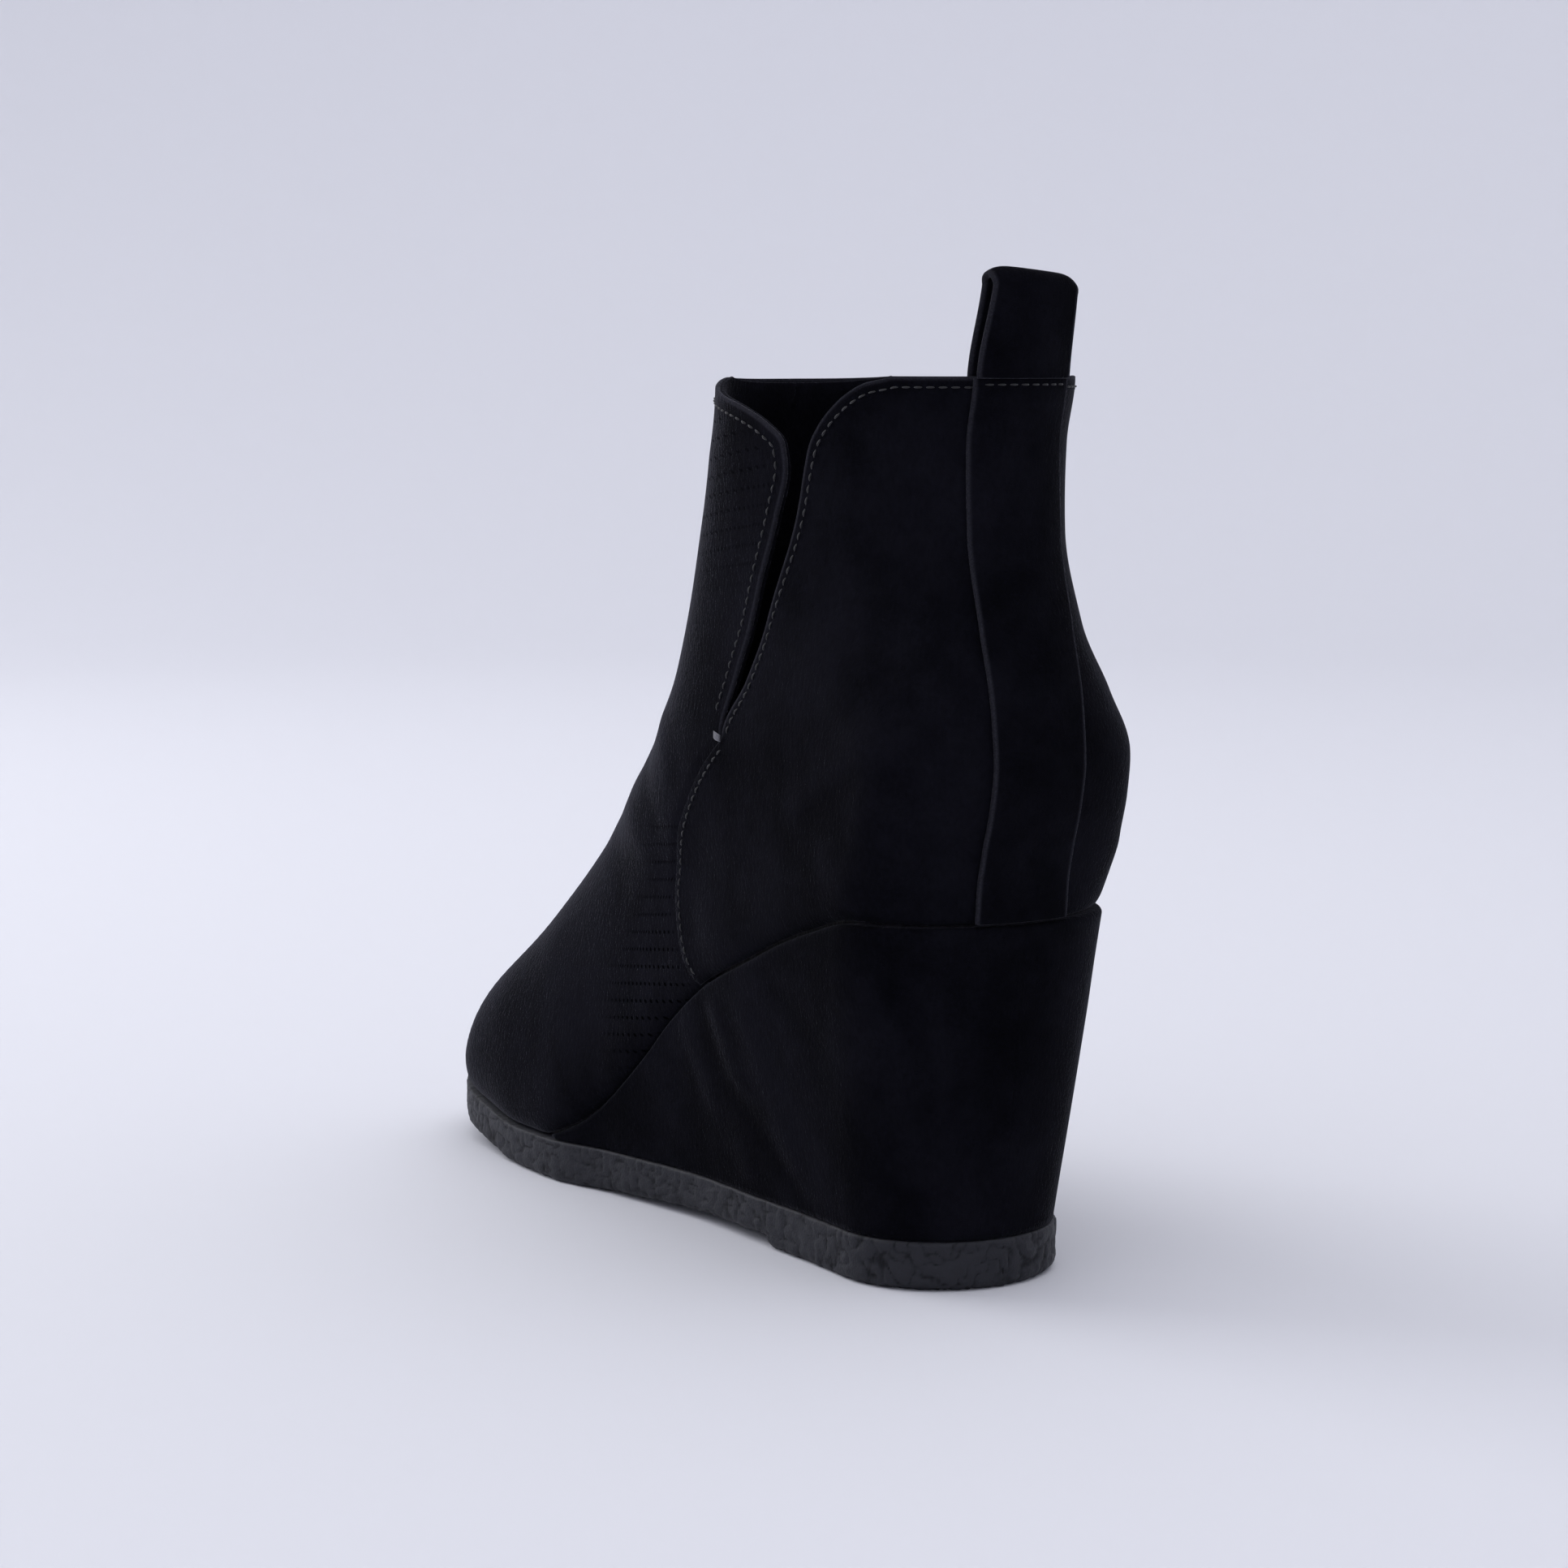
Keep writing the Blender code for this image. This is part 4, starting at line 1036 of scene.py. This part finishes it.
# %% [markdown]
# ## Heel strip and pull loop
#
# A strip covers the seam up the back, and a folded band of the same suede over the collar makes the loop.
# Both are made as sheets over the form's own rear surface, so they sit on it from every side.

# %% Strip and loop
STRIP_WIDTH = 0.0236
STRIP_LIFT = 0.0012
LOOP_WIDTH = 0.0228
LOOP_RISE = 0.0245
LOOP_TAIL = 0.012
LOOP_LEAN = 0.0020
LOOP_FLATTER = 0.45
LOOP_WALL = 0.0015
LOOP_SLANT = 0.0022
LOOP_TAPER = 0.09
LOOP_CORNER = 0.0014
UPPER_WALL = 0.0022


def rear_at(sideways, up):
    """Forward place of the upper's rear at a distance from its middle: rear + radius * (1 - turn), where
    turn = (1 - (sideways / full)^2)^(1 / 2.1)."""
    radius = ANKLE_WIDTH * curve(LEG_SECTIONS, up_shaft(up), 2)
    forward = rear(up)
    for _ in range(3):
        full = np.where(sideways > 0, upper_full(forward, up, INNER), upper_full(forward, up, OUTER))
        turn = (1 - np.clip(sideways / full, -1, 1)**2) ** (1 / REAR_POWER)
        forward = rear(up) + radius * (1 - turn)
    return forward


def make_strip():
    """Raised strip over the rear seam."""
    sideways = np.linspace(STRIP_WIDTH / 2, -STRIP_WIDTH / 2, 41)[None, :]
    up = np.linspace(HEEL_SEAT_HEIGHT + 3 * GAP, COLLAR_HEIGHT - GAP, 170)[:, None]
    sideways, up = np.broadcast_arrays(sideways, up)
    points = place(sideways, rear_at(sideways, up), up)
    outside = points + normals(points) * STRIP_LIFT
    solid, faces = sheet(outside, STRIP_LIFT, 0.6)
    away = np.minimum(STRIP_WIDTH / 2 - np.abs(sideways), 0.02)
    marks = {"edge": sheet_marks(away / MM, 0), "nap": sheet_marks(away * 0, 0)}
    add_piece("heel_strip", solid, faces, strip_suede, marks, ["back_strip"])


def make_loop():
    """Folded loop: a leg above the strip, a round fold and a tail inside the collar."""
    crotch = (UPPER_WALL + 4 * GAP) / 2
    fold_up = COLLAR_HEIGHT + LOOP_RISE - LOOP_WALL - crotch
    turn = np.linspace(0, np.pi, 17)
    leg_up = np.linspace(COLLAR_HEIGHT + GAP, fold_up, 40)[:-1]
    tail_up = np.linspace(fold_up, COLLAR_HEIGHT - LOOP_TAIL, 50)[1:]
    up = np.concatenate([leg_up, fold_up + crotch * np.sin(turn), tail_up])
    through = np.concatenate([np.full(39, -1.0), -np.cos(turn), np.full(49, 1.0)]) * crotch
    sideways = np.linspace(LOOP_WIDTH / 2, -LOOP_WIDTH / 2, 41)[None, :]
    sideways, up = np.broadcast_arrays(sideways, up[:, None])
    surface = rear_at(sideways, np.minimum(up, COLLAR_HEIGHT))
    middle = rear(COLLAR_HEIGHT)
    risen = np.clip((up - COLLAR_HEIGHT) / LOOP_RISE, 0, 1)
    flatter = 1 - LOOP_FLATTER * soft(risen)
    forward = middle + (surface - middle) * flatter + UPPER_WALL / 2 + through[:, None] - LOOP_LEAN * risen
    from_outer = sideways + LOOP_WIDTH / 2
    corner = LOOP_CORNER * np.abs(2 * sideways / LOOP_WIDTH)**8
    up = up - risen * (LOOP_SLANT * (1 - from_outer / LOOP_WIDTH) + corner)
    sideways = from_outer * (1 - LOOP_TAPER * soft(risen)) - LOOP_WIDTH / 2
    points = place(sideways, forward, up)
    outside = points + normals(points) * LOOP_WALL
    solid, faces = sheet(outside, LOOP_WALL, 0.6)
    away = np.minimum(from_outer, LOOP_WIDTH - from_outer)
    marks = {"edge": sheet_marks(away / MM, 0), "nap": sheet_marks(away * 0, 0)}
    add_piece("pull_tab", solid, faces, strip_suede, marks, ["pull_loop"])


make_strip()
make_loop()

# %% [markdown]
# ## Stitches
#
# Each part is topstitched in black thread two or three millimetres inside its edge, and a short pale bar of thread
# holds the foot of each V cut. A stitch is a small capsule that bows out of the suede and dives back in. All
# stitches of a row are computed together, as stitches x rings x corners.

# %% Thread
THREAD_RADIUS = 0.00024
STITCH_PITCH = 0.0028
STITCH_LENGTH = 0.0021
STITCH_RINGS = 7
STITCH_CORNERS = 6
QUARTER_MARGIN = 0.0021
FRONT_MARGIN = 0.0029
SEAM_MARGIN = 0.0019


def on_upper(forward, up, side, lift):
    """Points of the upper and their outward directions: two small steps over the form, crossed."""
    step = 0.0002
    here, ahead, above = (place(side * upper_section(f, u, side)[0], f, u)
                          for f, u in ((forward, up), (forward + step, up), (forward, up + step)))
    out = -side * np.cross(ahead - here, above - here)
    out /= np.maximum(np.linalg.norm(out, axis=-1, keepdims=True), 1e-12)
    fold = strokes(UPPER_STROKES, forward, up)[0]
    return here + out * (fold + lift)[..., None], out


def beside(line, margin):
    """A side-view line moved to its left by a margin."""
    run = np.gradient(line, axis=0)
    run /= np.hypot(run[:, :1], run[:, 1:])
    return line + margin * np.stack([-run[:, 1], run[:, 0]], -1)


def row_of_stitches(path, out, pitch=STITCH_PITCH, length=STITCH_LENGTH, radius=THREAD_RADIUS):
    """Capsules along a path: at share q of a stitch the ring's radius is radius * sin(pi q)^0.4 and its
    centre stands radius * (1.3 sin(pi q) - 0.5) above the path."""
    far = lengths(path)
    count = int((far[-1] - length) / pitch) + 1
    q = np.linspace(0.02, 0.98, STITCH_RINGS)
    at = (far[-1] - (count - 1) * pitch - length) / 2 + np.arange(count)[:, None] * pitch + q * length
    middle, up = (np.stack([np.interp(at, far, rows[:, i]) for i in range(3)], -1) for rows in (path, out))
    run = np.gradient(middle, axis=1)
    run /= np.linalg.norm(run, axis=-1, keepdims=True)
    sideways = np.cross(run, up)
    swell = np.sin(np.pi * q)[None, :, None]
    middle = middle + up * radius * (1.3 * swell - 0.5)
    angle = 2 * np.pi * np.arange(STITCH_CORNERS) / STITCH_CORNERS
    ring = (np.cos(angle)[:, None] * up[..., None, :] + np.sin(angle)[:, None] * sideways[..., None, :])
    points = middle[..., None, :] + radius * swell[..., None]**0.4 * ring
    number = np.arange(points.size // 3).reshape(points.shape[:3])
    now, after = number, np.roll(number, -1, 2)
    sides = np.stack([now[:, :-1], after[:, :-1], after[:, 1:], now[:, 1:]], -1).reshape(-1, 4)
    return points.reshape(-1, 3), sides, np.concatenate([number[:, 0, ::-1], number[:, -1]])


def add_thread(name, rows, finish):
    """One piece from several rows of stitches."""
    points, sides, caps, start = [], [], [], 0
    for p, s, c in rows:
        points.append(p)
        sides.append(s + start)
        caps.append(c + start)
        start += len(p)
    add_piece(name, np.concatenate(points), [np.concatenate(sides), np.concatenate(caps)], finish)


def thread(name, dark, light):
    """Twisted thread: a slight sheen and a fine lay, seen as a shade that changes along it."""
    finish = Finish(name, 0.6, Sheen_Weight=0.2, Sheen_Roughness=0.4)
    lay = finish.noise(0.0004, 1.0)
    finish.set(finish.shader, {"Base Color": finish.blend(lay, dark, light), "Normal": finish.relief(lay, 0.0001)})
    return finish


def collar_run(start, end, margin):
    """Path just below the collar between two forward places, closer together where the form is round."""
    forward = end + (start - end) * (1 - np.sin(np.linspace(0, np.pi / 2, 120)))
    return np.stack([forward, collar_up(forward) - margin], -1)


black_thread = thread("black thread", (0.002, 0.002, 0.003), (0.010, 0.010, 0.013))
pale_thread = thread("pale thread", (0.05, 0.05, 0.06), (0.20, 0.20, 0.23))
stitch_rows, bar_rows = [], []
for side in (INNER, OUTER):
    edge = beside(rear_slit, QUARTER_MARGIN)
    edge = edge[edge[:, 1] < COLLAR_HEIGHT - QUARTER_MARGIN]
    strip_side = rear_at(np.array(side * STRIP_WIDTH / 2), COLLAR_HEIGHT - QUARTER_MARGIN)
    line = np.concatenate([edge[4:], collar_run(edge[-1, 0], float(strip_side), QUARTER_MARGIN)[1:]])
    stitch_rows.append(row_of_stitches(*on_upper(line[:, 0], line[:, 1], side, np.zeros(len(line)))))
    line = beside(seam[::-1], SEAM_MARGIN)
    stitch_rows.append(row_of_stitches(*on_upper(line[4:, 0], line[4:, 1], side, quarter_lift(line[4:]))))

over_shin = []
for side in (INNER, OUTER):
    edge = beside(front_slit, -FRONT_MARGIN)
    edge = edge[(edge[:, 1] < collar_up(edge[:, 0]) - FRONT_MARGIN) & (np.arange(len(edge)) > 25)]
    top = np.interp(COLLAR_HEIGHT - COLLAR_DIP - FRONT_MARGIN, shin[:, 1], shin[:, 0])
    line = np.concatenate([edge, collar_run(edge[-1, 0], top - 0.00005, FRONT_MARGIN)[1:]])
    over_shin.append(on_upper(line[:, 0], line[:, 1], side, np.zeros(len(line))))
(inner_path, inner_out), (outer_path, outer_out) = over_shin
front_path = np.concatenate([inner_path, outer_path[::-1]])
front_out = np.concatenate([inner_out, outer_out[::-1]])
stitch_rows.append(row_of_stitches(front_path, front_out))

STRIP_LINE_DROP = 0.0015
sideways = np.linspace(STRIP_WIDTH / 2 - 0.0008, 0.0008 - STRIP_WIDTH / 2, 60)
strip_up = np.full(60, COLLAR_HEIGHT - STRIP_LINE_DROP)
strip_path = place(sideways, rear_at(sideways, strip_up), strip_up)
strip_run = np.gradient(strip_path, axis=0)
strip_out = np.cross(strip_run, (0, 0, 1.0))
strip_out *= np.sign(strip_out[:, 1:2]) / np.linalg.norm(strip_out, axis=1, keepdims=True)
stitch_rows.append(row_of_stitches(strip_path + strip_out * STRIP_LIFT, strip_out))
add_thread("black_stitches", stitch_rows, black_thread)

BAR_THREADS = 5
BAR_LENGTH = 0.0036
BAR_STEP = 0.00034
for side in (INNER, OUTER):
    for k in range(BAR_THREADS):
        forward = np.linspace(-0.5, 0.5, 12) * BAR_LENGTH + SEAM[0, 0] + 0.0006
        up = np.full(12, TIP - 0.0004 + (k - BAR_THREADS / 2) * BAR_STEP) + 0.25 * (forward - SEAM[0, 0])
        path, out = on_upper(forward, up, side, np.full(12, LAP_LIFT + 0.0002))
        bar_rows.append(row_of_stitches(path, out, BAR_LENGTH, BAR_LENGTH * 0.95, 0.0002))
add_thread("bar_stitches", bar_rows, pale_thread)

# %% [markdown]
# ## Sock
#
# The insole keeps the frame's own mesh and gets a finish of its own: a dark felt-like sock.

# %% Sock finish
sock = Finish("sock", 0.9, Sheen_Weight=0.1)
sock_grain = sock.noise(0.0008, 2.0)
sock.set(sock.shader, {"Base Color": sock.blend(sock_grain, (0.006, 0.006, 0.007), (0.02, 0.02, 0.023)),
                       "Normal": sock.relief(sock_grain, 0.0003)})
insole_mesh = frame["nodes"]["insole"].data
insole_mesh.materials.clear()
insole_mesh.materials.append(sock.material)
